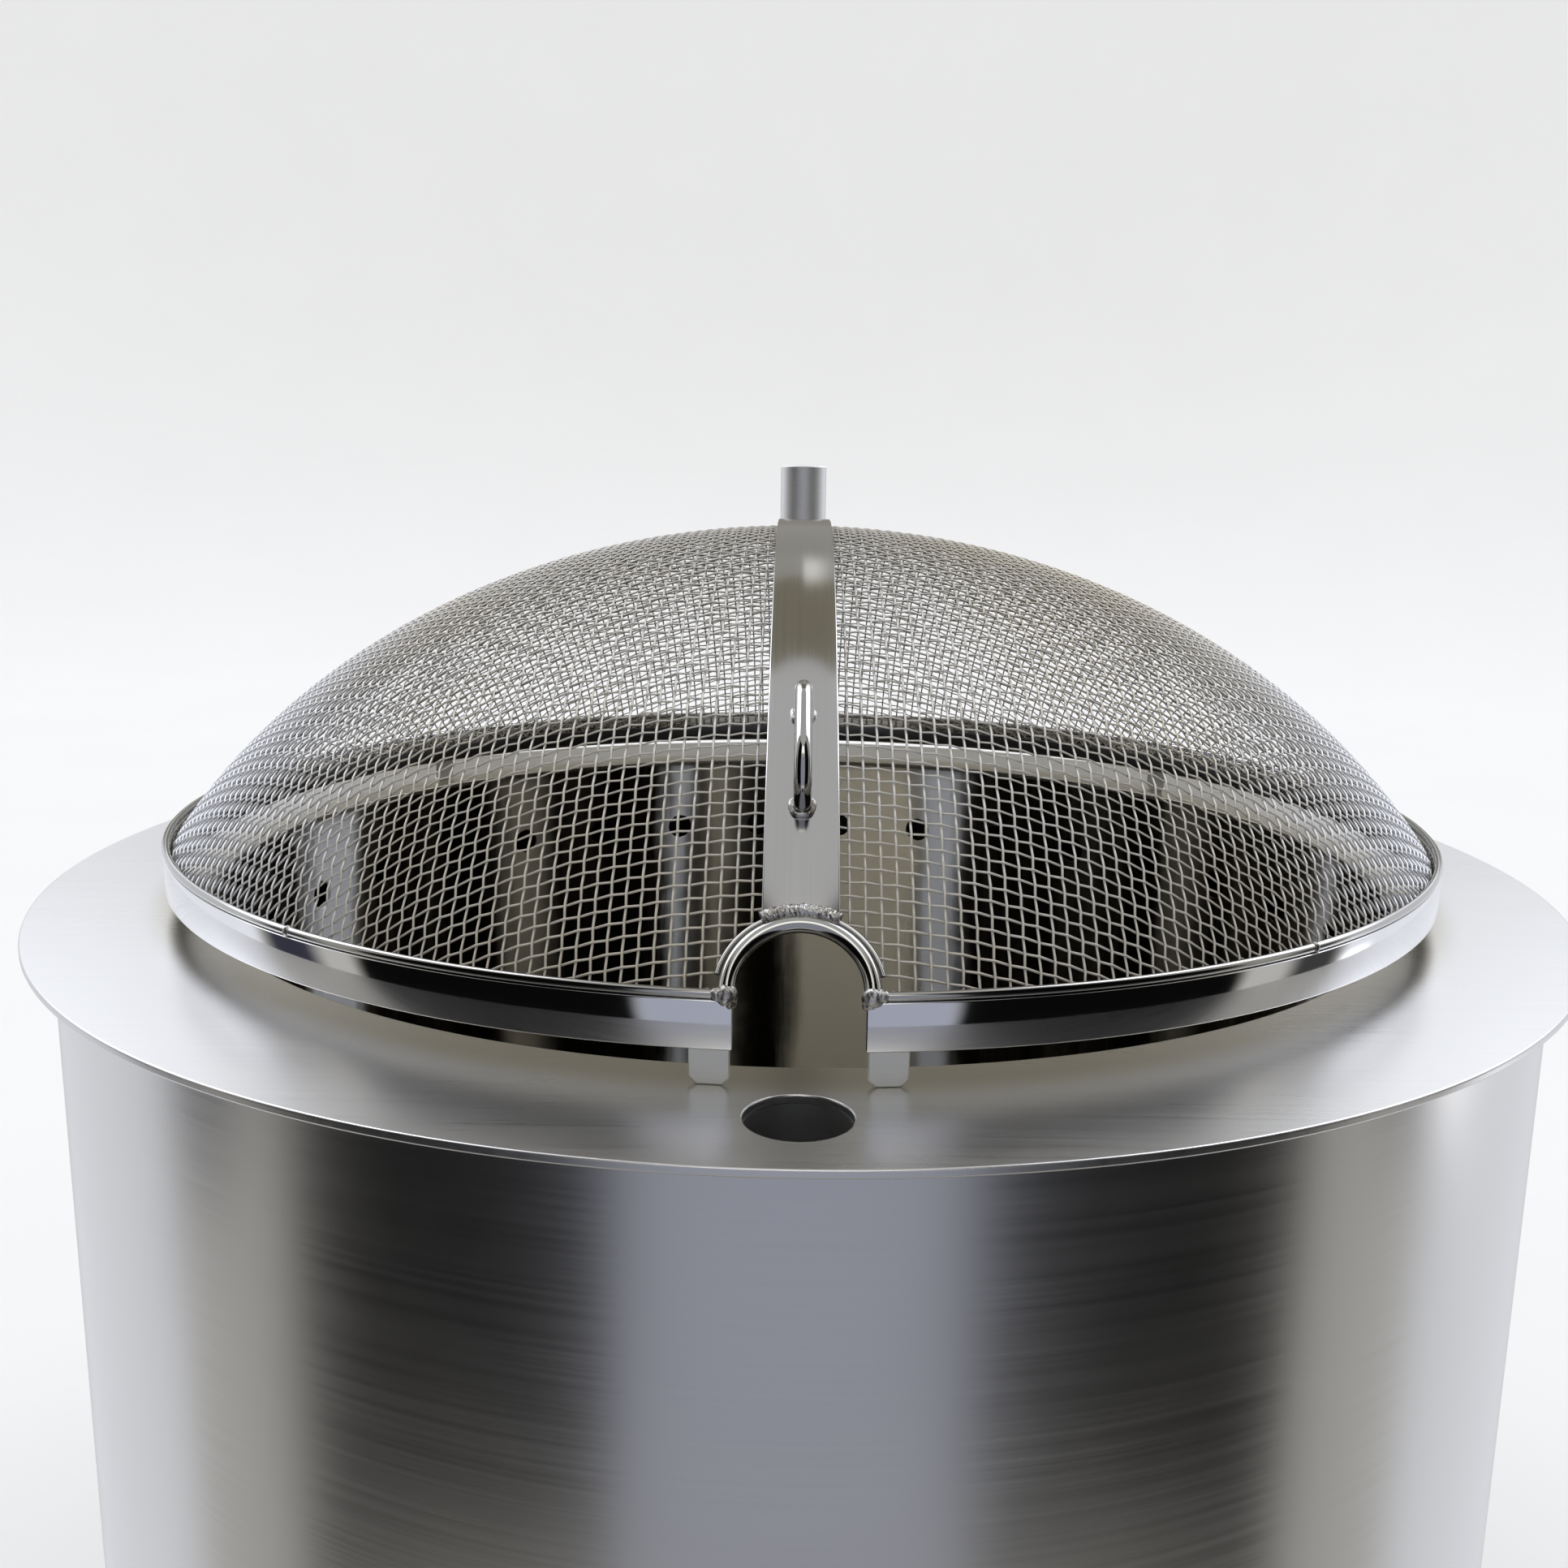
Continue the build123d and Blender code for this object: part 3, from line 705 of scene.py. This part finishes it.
def weld_metal():
    """Bright weld: lumpy, with ripples and a faint heat tint."""
    finish = Finish("weld_bead", (0.62, 0.61, 0.59), 1.0, 0.3)
    lumps = finish.noise(finish.place, 700.0, 3.0, 0.55)
    tint = finish.noise(finish.place, 160.0, 2.0, 0.5)
    finish.feed("Base Color", finish.mix(tint.between(0.40, 0.65), (0.56, 0.55, 0.53), (0.30, 0.27, 0.24)))
    finish.feed("Roughness", lumps * 0.3 + 0.15)
    finish.bump(lumps, 0.8, 0.0005)
    return finish.material


def coated_iron():
    """Matt black heat-proof coat over a rough plate, ash-grey where it has burned."""
    finish = Finish("grate_coat", (0.03, 0.03, 0.03), 0.0, 0.75)
    grain = finish.noise(finish.place, 240.0, 3.0, 0.6)
    ash = finish.noise(finish.place, 14.0, 5.0, 0.6)
    finish.feed("Base Color", finish.mix(ash.between(0.5, 0.75), (0.028, 0.027, 0.026), (0.16, 0.15, 0.14)))
    finish.feed("Roughness", grain * 0.2 + 0.62)
    finish.bump(grain, 0.5, 0.0004)
    return finish.material


def dull_steel(name, color):
    """Hidden mill-finish steel, dulled by heat and handling."""
    finish = Finish(name, color, 1.0, 0.45)
    cloud = finish.noise(finish.place, 16.0, 5.0, 0.6)
    fine = finish.noise(finish.place, 260.0, 2.0, 0.5)
    finish.feed("Base Color", finish.mix(cloud, scaled(color, 0.75), scaled(color, 1.15)))
    finish.feed("Roughness", cloud * 0.25 + fine * 0.1 + 0.28)
    finish.bump(fine, 0.25, 0.0001)
    return finish.material


def plain_brass():
    """Bearing brass, cloudy from handling."""
    finish = Finish("washer_metal", (0.72, 0.56, 0.28), 1.0, 0.35)
    cloud = finish.noise(finish.place, 60.0, 3.0, 0.5)
    finish.feed("Base Color", finish.mix(cloud, (0.60, 0.45, 0.21), (0.76, 0.60, 0.32)))
    finish.feed("Roughness", cloud * 0.3 + 0.2)
    return finish.material


MATERIALS = {}


def finish_named(name):
    """The shared material of that name, made on first use."""
    values = settings()
    makers = {
        "wall": lambda: satin_steel("wall_sheet", values.sheet_steel, (3, 3, 420), 0.24),
        "flange": lambda: satin_steel("flange_sheet", scaled(values.sheet_steel, 1.08), (8, 600, 8), 0.29,
                                      0.04, 0.12, heated_within=BAND_HIGH.x + 0.012),
        "post": lambda: satin_steel("post_tube", (0.84, 0.84, 0.83), (60, 60, 700), 0.52),
        "strap": lambda: satin_steel("strap_bar", scaled(values.sheet_steel, 0.86), (900, 8, 8), 0.13, 0.02),
        # Painted shade: the clamp strip is darkened to 0.22 of the sheet steel so that the inside of the hoop's
        # far side looks shadowed.
        "clamp": lambda: satin_steel("clamp_strip", scaled(values.sheet_steel, 0.22), (20, 20, 900), 0.35),
        "tab": lambda: satin_steel("foot_tab", (0.88, 0.88, 0.84), (90, 90, 900), 0.50),
        "band": lambda: mirror_steel("polished_band", values.polished_steel, 0.06, 0.00025,
                                     smoked_within=BAND_HIGH.x - BAND_THICK + 0.0003),
        "rod": lambda: mirror_steel("polished_rod", (0.47, 0.465, 0.45), 0.11, 0.0001),
        "wire": wire_steel,
        "firebox": firebox_steel,
        "weld": weld_metal,
        "grate": coated_iron,
        "structure": lambda: dull_steel("structure_steel", (0.46, 0.46, 0.45)),
        "pan": lambda: dull_steel("pan_steel", (0.28, 0.26, 0.24)),
        "washer": plain_brass,
    }
    if name not in MATERIALS:
        MATERIALS[name] = makers[name]()
    return MATERIALS[name]


# ---------------------------------------------------------------- operators

class BuildOperator:
    """What the building operators share."""

    bl_options = {"REGISTER"}

    def execute(self, context):
        self.build(settings())
        return {"FINISHED"}


class FIREPIT_OT_walls(BuildOperator, bpy.types.Operator):
    """Outer wall with its air intakes, and firebox wall with both rows of air holes"""

    bl_idname = "fire_pit.walls"
    bl_label = "Walls"

    def build(self, values):
        outer = perforated_wall(OUTER_HIGH.x, OUTER_LOW.z, OUTER_HIGH.z, [(INTAKE_ROW, values.intake_radius)])
        piece = make_piece("outer_wall_sheet", outer, finish_named("wall"), "pit",
                           ["outer_wall"], outward=radial)
        thicken(piece, SHEET)
        air = [(row, values.air_hole_radius) for row in (LOW_AIR_ROW, HIGH_AIR_ROW)]
        inner = perforated_wall(INNER_HIGH.x, INNER_LOW.z, INNER_HIGH.z, air)
        piece = make_piece("firebox_wall_sheet", inner, finish_named("firebox"), "pit",
                           ["inner_wall"], outward=radial)
        thicken(piece, SHEET)


class FIREPIT_OT_flange(BuildOperator, bpy.types.Operator):
    """Wide cooking flange with its two post holes"""

    bl_idname = "fire_pit.flange"
    bl_label = "Cooking flange"

    def build(self, values):
        ring = holed_ring(FLANGE_HOLE_R, FLANGE_HIGH.x, FLANGE_TOP, SOCKET_BORE_R, SOCKET_CIRCLE_R)
        piece = make_piece("cooking_flange_plate", ring, finish_named("flange"), "pit",
                           ["cooking_flange"], outward=upward)
        thicken(piece, FLANGE_HIGH.z - FLANGE_LOW.z, 0.0008)


class FIREPIT_OT_post(BuildOperator, bpy.types.Operator):
    """Accessory post: a tube with broken edges and a plug set just below its rim"""

    bl_idname = "fire_pit.post"
    bl_label = "Accessory post"

    def build(self, values):
        radius = (POST_HIGH.x - POST_LOW.x) / 2
        wall, edge, recess = POST_WALL, POST_EDGE, POST_RECESS
        low, high = POST_LOW.z, POST_HIGH.z
        profile = [(0, low), (radius - edge, low), (radius, low + edge), (radius, high - edge),
                   (radius - edge, high), (radius - wall + edge, high), (radius - wall, high - edge),
                   (radius - wall, high - recess), (0, high - recess)]
        tube = lathe(profile, 64, (0, SOCKET_CIRCLE_R))
        make_piece("accessory_post_tube", [tube], finish_named("post"), "post",
                   ["accessory_post", "post_plug"])


def ring_arc(radius, z, half_gap):
    """Circle at a height, open at the front over half_gap each side of the middle."""
    gap = np.arcsin(half_gap / radius)
    angle = np.linspace(-pi / 2 + gap, 1.5 * pi - gap, HOOP_STEPS)
    path = np.stack([radius * np.cos(angle), radius * np.sin(angle), np.full_like(angle, z)], -1)
    return path, np.stack([np.cos(angle), np.sin(angle), 0 * angle], -1)


class FIREPIT_OT_hoop(BuildOperator, bpy.types.Operator):
    """Screen hoop: polished band, rim rod with tack welds, and the inner clamp strip"""

    bl_idname = "fire_pit.hoop"
    bl_label = "Screen hoop"

    def build(self, values):
        middle = BAND_HIGH.x - BAND_THICK / 2
        height = BAND_HIGH.z - BAND_LOW.z
        path, out = ring_arc(middle, BAND_LOW.z + height / 2, NOTCH_HALF)
        section = rounded_section(height, BAND_THICK, BAND_EDGE)
        screen_bar("screen_band_bar", path, out, section, "band", ["screen_band"])
        rod_r = (ROD_HIGH.z - ROD_LOW.z) / 2
        path, out = ring_arc(middle, ROD_LOW.z + rod_r, ARCH_HALF + 0.003)
        screen_bar("rim_rod_bar", path, out, circle_section(rod_r, 12), "rod", ["rim_rod"])
        tacks = [blob((middle * sin(a), -middle * cos(a), ROD_LOW.z + rod_r), TACK_R, 5 + i)
                 for i, a in enumerate(np.radians(TACK_ANGLES))]
        screen_weld("rim_tacks", tacks, ["rim_tack_welds"])
        low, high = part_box("mesh_clamp_ring")
        path, out = ring_arc(high.x - CLAMP_THICK / 2, (low.z + high.z) / 2, CLAMP_GAP)
        section = rounded_section(high.z - low.z, CLAMP_THICK, CLAMP_EDGE)
        screen_bar("mesh_clamp_strip", path, out, section, "clamp", ["mesh_clamp_ring"])


def blob(centre, radius, seed):
    """Lumpy ball: a sphere whose radius is radius * (0.9 + ripple / 10), with a seeded ripple."""
    rows, cols = 12, 20
    around, up = np.meshgrid(np.arange(cols) * 2 * pi / cols, np.linspace(-pi / 2, pi / 2, rows))
    ball = np.stack([np.cos(up) * np.cos(around), np.cos(up) * np.sin(around), np.sin(up)], -1)
    ball = ball * (radius * (0.9 + 0.1 * ripple(ball, 1.3, seed)))[..., None]
    return (ball + np.asarray(centre)).reshape(-1, 3), grid_quads(rows, cols, False, True)


class FIREPIT_OT_mesh(BuildOperator, bpy.types.Operator):
    """Woven wire of the dome, in four pieces: wires one way and the other, in halves"""

    bl_idname = "fire_pit.mesh"
    bl_label = "Woven dome"

    def build(self, values):
        net = whole_net(values.wire_pitch)
        count = len(net)
        middle = count // 2
        checks = np.indices((count, count)).sum(0) % 2 * 2.0 - 1.0
        families = {
            "left_right": (net.swapaxes(0, 1), checks.swapaxes(0, 1)),
            "front_back": (net, -checks),
        }
        for family, (points, over) in families.items():
            for half, rows in (("low", slice(0, middle)), ("high", slice(middle, count))):
                part = woven_wires(points[rows], over[rows], values.wire_radius)
                make_piece(f"woven_wire_{family}_{half}", [part], finish_named("wire"), "spark_screen",
                           ["mesh_dome"], sharp=None, merge=False)


def arch_path(half_width, start, stop, steps):
    """Half circle in the arch's sloping plane, between two angles in degrees."""
    angle = np.radians(np.linspace(start, stop, steps))
    return ARCH_FOOT + half_width * (
        np.cos(angle)[:, None] * np.array([1.0, 0, 0]) + np.sin(angle)[:, None] * ARCH_RISE)


class FIREPIT_OT_arch(BuildOperator, bpy.types.Operator):
    """Notch arch rod, the binding wire outside it, and the weld nuggets at its feet"""

    bl_idname = "fire_pit.arch"
    bl_label = "Notch arch"

    def build(self, values):
        path = arch_path(ARCH_HALF, 0, 180, ARCH_STEPS)
        screen_bar("notch_arch_rod", path, ARCH_OUT, circle_section(ARCH_ROD_R, values.rod_sides),
                   "rod", ["notch_arch"])
        path = arch_path(BINDING_HALF, BINDING_START, BINDING_STOP, ARCH_STEPS)
        screen_bar("arch_binding_wire", path, ARCH_OUT, circle_section(BINDING_R, 8),
                   "rod", ["arch_binding"])
        nuggets = []
        for side in (-1, 1):
            spot = np.array([side * ARCH_HALF, ARCH_FOOT[1] - 0.0008, BAND_HIGH.z + 0.0014])
            for out, up, radius, seed in ((0, 0, 0.0038, 11), (-0.0012, -0.0022, 0.0026, 21),
                                          (0.003, 0.0002, 0.0024, 31)):
                nuggets.append(blob(spot + [side * out, 0, up], radius, seed + side))
        screen_weld("arch_foot_welds", nuggets, ["arch_welds"])


class FIREPIT_OT_strap(BuildOperator, bpy.types.Operator):
    """Centre strap over the dome, and the rough weld where its front end meets the arch"""

    bl_idname = "fire_pit.strap"
    bl_label = "Centre strap"

    def build(self, values):
        """An arc over the dome's ellipse, grown by the strap's lift: y = -(A + lift) * sin(angle) and
        z = centre + (B + lift) * sqrt(cos(angle)^2 - (across / A)^2), from the arch to the rear hoop."""
        section = rounded_section(STRAP_HIGH.x - STRAP_LOW.x, STRAP_THICK, STRAP_EDGE)
        across = section[:, 0]
        lift = (STRAP_INNER + STRAP_OUTER) / 2 + section[:, 1]
        front_rise = np.sqrt(STRAP_ARCH_GAP**2 - across**2)
        front_r = -(ARCH_FOOT + front_rise[:, None] * ARCH_RISE)[:, 1]
        back_r = DOME_A * sqrt(1 - ((STRAP_LOW.z - DOME_CENTRE_Z) / DOME_B) ** 2)
        start = np.arcsin(front_r / DOME_A)
        end = -np.arcsin(back_r / DOME_A)
        along = np.linspace(0, 1, STRAP_STEPS)[:, None]
        angle = start * (1 - along) + end * along
        y = -(DOME_A + lift) * np.sin(angle)
        z = DOME_CENTRE_Z + (DOME_B + lift) * np.sqrt(np.cos(angle) ** 2 - (across / DOME_A) ** 2)
        points = np.stack([np.broadcast_to(across, y.shape), y, np.maximum(z, STRAP_LOW.z)], -1)
        make_piece("centre_strap_bar", [(points.reshape(-1, 3), capped_quads(*y.shape))], finish_named("strap"),
                   "spark_screen", ["centre_strap"], sharp=60)
        self.end_weld()

    def end_weld(self):
        """A bead along the arch whose section swells and shrinks: radius * (0.9 + ripples)."""
        path = arch_path(ARCH_HALF + ARCH_ROD_R + 0.0016, BEAD_START, BEAD_STOP, BEAD_STEPS)
        verts, faces = carried(path, ARCH_OUT, circle_section(BEAD_R, BEAD_SIDES))
        centre = np.repeat(path, BEAD_SIDES, 0)
        lumps = 0.05 * ripple(verts, 0.0050, 3) + 0.05 * ripple(verts, 0.0021, 4) + 0.04 * ripple(verts, 0.0011, 6)
        screen_weld("strap_end_bead", [(centre + (verts - centre) * (0.9 + lumps)[:, None], faces)],
                    ["strap_end_weld"])


def strap_spot(radius):
    """Point on the strap's outer face at a radius in front of the axis, and the outward normal there."""
    a, b = DOME_A + STRAP_OUTER, DOME_B + STRAP_OUTER
    z = b * sqrt(1 - (radius / a) ** 2)
    return np.array([0, -radius, DOME_CENTRE_Z + z]), unit(np.array([0, -radius / a**2, z / b**2]))


class FIREPIT_OT_handle(BuildOperator, bpy.types.Operator):
    """Lift handle: a rod loop with two round bends, and the weld collars at its feet"""

    bl_idname = "fire_pit.handle"
    bl_label = "Lift handle"

    def build(self, values):
        (low, low_out), (top, top_out) = strap_spot(HANDLE_LOW_R), strap_spot(HANDLE_TOP_R)
        corners = [low - HANDLE_BITE * low_out, low + HANDLE_STAND * low_out, top + HANDLE_STAND * top_out,
                   top - HANDLE_BITE * top_out]
        screen_bar("lift_handle_rod", rounded_path(corners, HANDLE_BEND), np.array([1.0, 0, 0]),
                   circle_section(HANDLE_ROD_R, values.rod_sides), "rod", ["lift_handle"])
        rings = []
        for seed, (spot, out) in enumerate(((low, low_out), (top, top_out))):
            side = np.cross(out, [1.0, 0, 0])
            angle = np.linspace(0, 2 * pi, 32, endpoint=False)
            reach = (COLLAR_REACH + 0.0002 * np.sin(5 * angle + seed))[:, None]
            ring = spot + 0.0004 * out + reach * (np.cos(angle)[:, None] * np.array([1.0, 0, 0])
                                                  + np.sin(angle)[:, None] * side)
            rings.append(carried(ring, out, circle_section(COLLAR_R, 10), closed=True))
        screen_weld("handle_weld_collars", rings, ["handle_collars"])


def rounded_path(corners, bend):
    """Straight runs between corners joined by tangent arcs of one radius, as closely spaced points."""
    points = [corners[0]]
    for before, corner, after in zip(corners, corners[1:], corners[2:]):
        to_before, to_after = unit(before - corner), unit(after - corner)
        half = np.arccos(np.clip(to_before @ to_after, -1, 1)) / 2
        centre = corner + unit(to_before + to_after) * bend / np.sin(half)
        first = corner + to_before * bend / np.tan(half) - centre
        last = corner + to_after * bend / np.tan(half) - centre
        sweep = np.arccos(np.clip(first @ last / bend**2, -1, 1))
        share = np.linspace(0, 1, 14)[:, None]
        arc = (first * np.sin((1 - share) * sweep) + last * np.sin(share * sweep)) / np.sin(sweep)
        points += list(centre + arc)
    return np.array(points + [corners[-1]])


class FIREPIT_OT_feet(BuildOperator, bpy.types.Operator):
    """Tabs that stand under the hoop, with two cut corners each"""

    bl_idname = "fire_pit.feet"
    bl_label = "Screen feet"

    def build(self, values):
        front = NOTCH_HALF + FOOT_GAP + FOOT_WIDTH / 2
        places = {"front_left": (-front, 0), "front_right": (front, 0),
                  "rear_left": (0, -REAR_FOOT_ANGLE), "rear_right": (0, REAR_FOOT_ANGLE)}
        for name, (offset, angle) in places.items():
            points, faces = self.tab(offset)
            make_piece(f"foot_tab_{name}", [(turned(points, radians(angle)), faces)], finish_named("tab"),
                       "spark_screen", [f"screen_foot_{name}"], sharp=30)

    def tab(self, offset):
        """Outline of the tab in four loops through its thickness, the outer two drawn in by the edge."""
        low, high = FLANGE_TOP, BAND_LOW.z
        half, cut, edge = FOOT_WIDTH / 2, FOOT_CHAMFER, FOOT_EDGE
        outline = np.array([(-half, high), (-half, low + cut), (-half + cut, low), (half - cut, low),
                            (half, low + cut), (half, high)])
        middle = np.array([0, (low + high) / 2])
        drawn = middle + (outline - middle) * (1 - edge / half)
        drawn[:, 1] = np.clip(drawn[:, 1], low, high)
        near, far = BAND_HIGH.x - FOOT_INSET, BAND_HIGH.x - BAND_THICK - FOOT_INSET
        loops = []
        for loop, radius in ((drawn, near), (outline, near - edge), (outline, far + edge), (drawn, far)):
            x = loop[:, 0] + offset
            loops.append(np.stack([x, -np.sqrt(radius**2 - x**2), loop[:, 1]], -1))
        return np.concatenate(loops), capped_quads(len(loops), len(outline))


class FIREPIT_OT_hidden_steel(BuildOperator, bpy.types.Operator):
    """Finishes of the plain inner and lower pieces, whose shapes stay as they are"""

    bl_idname = "fire_pit.hidden_steel"
    bl_label = "Inner pieces"

    def build(self, values):
        finishes = {
            "structure": ["foot_pads", "base_ring", "bottom_plate", "wall_spacers", "front_post_socket",
                          "rear_post_socket", "front_socket_plug", "rear_socket_plug",
                          "front_socket_bracket", "rear_socket_bracket"],
            "firebox": ["grate_ledge"], "pan": ["ash_pan"], "grate": ["fire_grate"], "washer": ["post_washer"],
        }
        for finish, nodes in finishes.items():
            for node in nodes:
                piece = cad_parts[node]
                piece.data.materials.clear()
                piece.data.materials.append(finish_named(finish))


# ---------------------------------------------------------------- stage

# The camera: distance from the flange's centre in flange radii, degrees above it, metres to the right,
# turns about X, Y and Z in degrees, and focal length in millimetres.
CAMERA_DISTANCE, CAMERA_RISE, CAMERA_SIDE = 2.1172, 13.95, -0.0022
CAMERA_TURN, CAMERA_LENS = (90 - 11.12, -0.75, 0.62), 33.74

ROOM_TONE = (0.42, 0.41, 0.38)

# Studio panels: side of the pit, degrees round from the front, degrees above the floor, soft edge, light.
PANELS = (
    ("both", (-9, 90), (30, 95), 6, (0.55, 0.54, 0.52)),
    ("both", (90, 190), (40, 66), 1, (0.25, 0.23, 0.17)),
    ("both", (160, 190), (-12, 31), 3, (0.36, 0.35, 0.32)),
    ("both", (132, 160), (6, 52), 4, (1.36, 1.40, 1.48)),
    ("both", (96, 190), (-9, 12.5), 1.5, (0.27, 0.26, 0.23)),
    ("both", (98, 146), (-60, 40), 4, (0.88, 0.90, 0.95)),
    ("both", (75, 98), (-45, 40), 3, (0.52, 0.51, 0.48)),
    ("left", (84, 97), (-24, 12), 3, (0.04, 0.04, 0.06)),
    ("right", (86, 98), (-21, 12), 3, (0.05, 0.05, 0.05)),
    ("right", (100.5, 107), (-20.5, -12.5), 3, (2.9, 2.9, 3.0)),
    ("both", (106, 150), (27, 74), 5, (3.1, 3.2, 3.5)),
    ("both", (25, 75), (-40, 62), 2, (0.003, 0.003, 0.003)),
    ("both", (-9, 25), (-42, 30), 2, (0.40, 0.42, 0.50)),
    ("both", (-9, 21), (40, 60), 4, (2.0, 2.0, 1.95)),
    ("both", (-9, 190), (63.7, 95), 0.5, (0.64, 0.64, 0.64)),
    ("right", (174, 182), (33.5, 41.5), 4, (1.0, 1.0, 0.94)),
)


class FIREPIT_OT_stage(BuildOperator, bpy.types.Operator):
    """Pale floor that curves up into a backdrop, the studio's soft panels and the camera"""

    bl_idname = "fire_pit.stage"
    bl_label = "Stage"

    def build(self, values):
        self.floor(values)
        self.studio()
        self.camera()

    def floor(self, values):
        """A bowl: flat to one radius, then a quarter circle up to a tall rim.  It glows softly by itself,
        and polished metal sees the studio behind it."""
        turn = np.linspace(0, pi / 2, 24)
        curve = zip(FLOOR_FLAT + FLOOR_BEND * np.sin(turn), FLOOR_BEND * (1 - np.cos(turn)))
        profile = [(0, 0), (0.5, 0), (2.0, 0), *curve, (FLOOR_FLAT + FLOOR_BEND, FLOOR_RIM)]
        verts, faces = lathe(profile, 128)
        mesh = bpy.data.meshes.new("floor")
        mesh.from_pydata(verts.tolist(), [], faces.tolist())
        mesh.polygons.foreach_set("use_smooth", np.ones(len(mesh.polygons), bool))
        finish = Finish("floor_paper", values.floor, 0.0, 0.9)
        grain = finish.noise(finish.place, 3.0, 3.0)
        finish.feed("Base Color", finish.mix(grain, scaled(values.floor, 0.97), scaled(values.floor, 1.03)))
        finish.shader.inputs["Specular IOR Level"].default_value = 0.0
        finish.shader.inputs["Emission Color"].default_value = (1, 1, 1, 1)
        finish.shader.inputs["Emission Strength"].default_value = FLOOR_GLOW
        mesh.materials.append(finish.material)
        floor = bpy.data.objects.new("floor", mesh)
        floor.visible_glossy = floor.visible_shadow = False
        bpy.context.scene.collection.objects.link(floor)

    def studio(self):
        """The lit room around the bowl: soft panels by direction, painted one over another."""
        world = bpy.data.worlds.new("studio")
        world.use_nodes = True
        room = Graph(world.node_tree)
        x, y, z = room.split(room.node("ShaderNodeTexCoord", {}, {})["Generated"])
        around = room.math("ARCTAN2", x, y * -1) * (180 / pi)
        height = room.math("ARCSINE", z) * (180 / pi)
        either = room.math("ABSOLUTE", around)
        color = ROOM_TONE
        for side, (first, last), (low, high), soft, glow in PANELS:
            sideways = room.window({"left": around * -1, "right": around, "both": either}[side], first, last, soft)
            upright = room.window(height, low, high, min(soft, 3))
            color = room.mix(sideways * upright, color, glow)
        background = world.node_tree.nodes["Background"]
        world.node_tree.links.new(color.socket, background.inputs["Color"])
        bpy.context.scene.world = world
        bpy.context.scene.view_settings.view_transform = "Standard"

    def camera(self):
        """A close camera in front of the notch, a little above the flange, looking slightly down."""
        distance, rise = CAMERA_DISTANCE * FLANGE_HIGH.x, radians(CAMERA_RISE)
        lens = bpy.data.cameras.new("camera")
        lens.lens, lens.sensor_width, lens.clip_start = CAMERA_LENS, 36.0, 0.02
        camera = bpy.data.objects.new("camera", lens)
        camera.location = (CAMERA_SIDE, -distance * cos(rise), FLANGE_TOP + distance * sin(rise))
        camera.rotation_mode = "XYZ"
        camera.rotation_euler = [radians(angle) for angle in CAMERA_TURN]
        bpy.context.scene.collection.objects.link(camera)
        bpy.context.scene.camera = camera


class FIREPIT_PT_panel(bpy.types.Panel):
    """Sidebar panel that lists the pieces and the sizes"""

    bl_label = "Fire pit"
    bl_idname = "FIREPIT_PT_panel"
    bl_space_type = "VIEW_3D"
    bl_region_type = "UI"
    bl_category = "Fire pit"

    def draw(self, context):
        for name in PitSettings.__annotations__:
            self.layout.prop(context.scene.fire_pit, name)
        for operator in OPERATORS:
            self.layout.operator(operator.bl_idname)


OPERATORS = (FIREPIT_OT_walls, FIREPIT_OT_flange, FIREPIT_OT_post, FIREPIT_OT_hoop, FIREPIT_OT_mesh,
             FIREPIT_OT_arch, FIREPIT_OT_strap, FIREPIT_OT_handle, FIREPIT_OT_feet,
             FIREPIT_OT_hidden_steel, FIREPIT_OT_stage)
CLASSES = (PitSettings, *OPERATORS, FIREPIT_PT_panel)


def register():
    """Adds the settings, the operators and the panel."""
    for cls in CLASSES:
        bpy.utils.register_class(cls)
    bpy.types.Scene.fire_pit = PointerProperty(type=PitSettings)


def unregister():
    """Takes the settings, the operators and the panel away again."""
    del bpy.types.Scene.fire_pit
    for cls in reversed(CLASSES):
        bpy.utils.unregister_class(cls)


def main():
    """Builds every piece and the stage."""
    register()
    for operator in OPERATORS:
        group, name = operator.bl_idname.split(".")
        getattr(getattr(bpy.ops, group), name)()


if __name__ == "__main__":
    main()
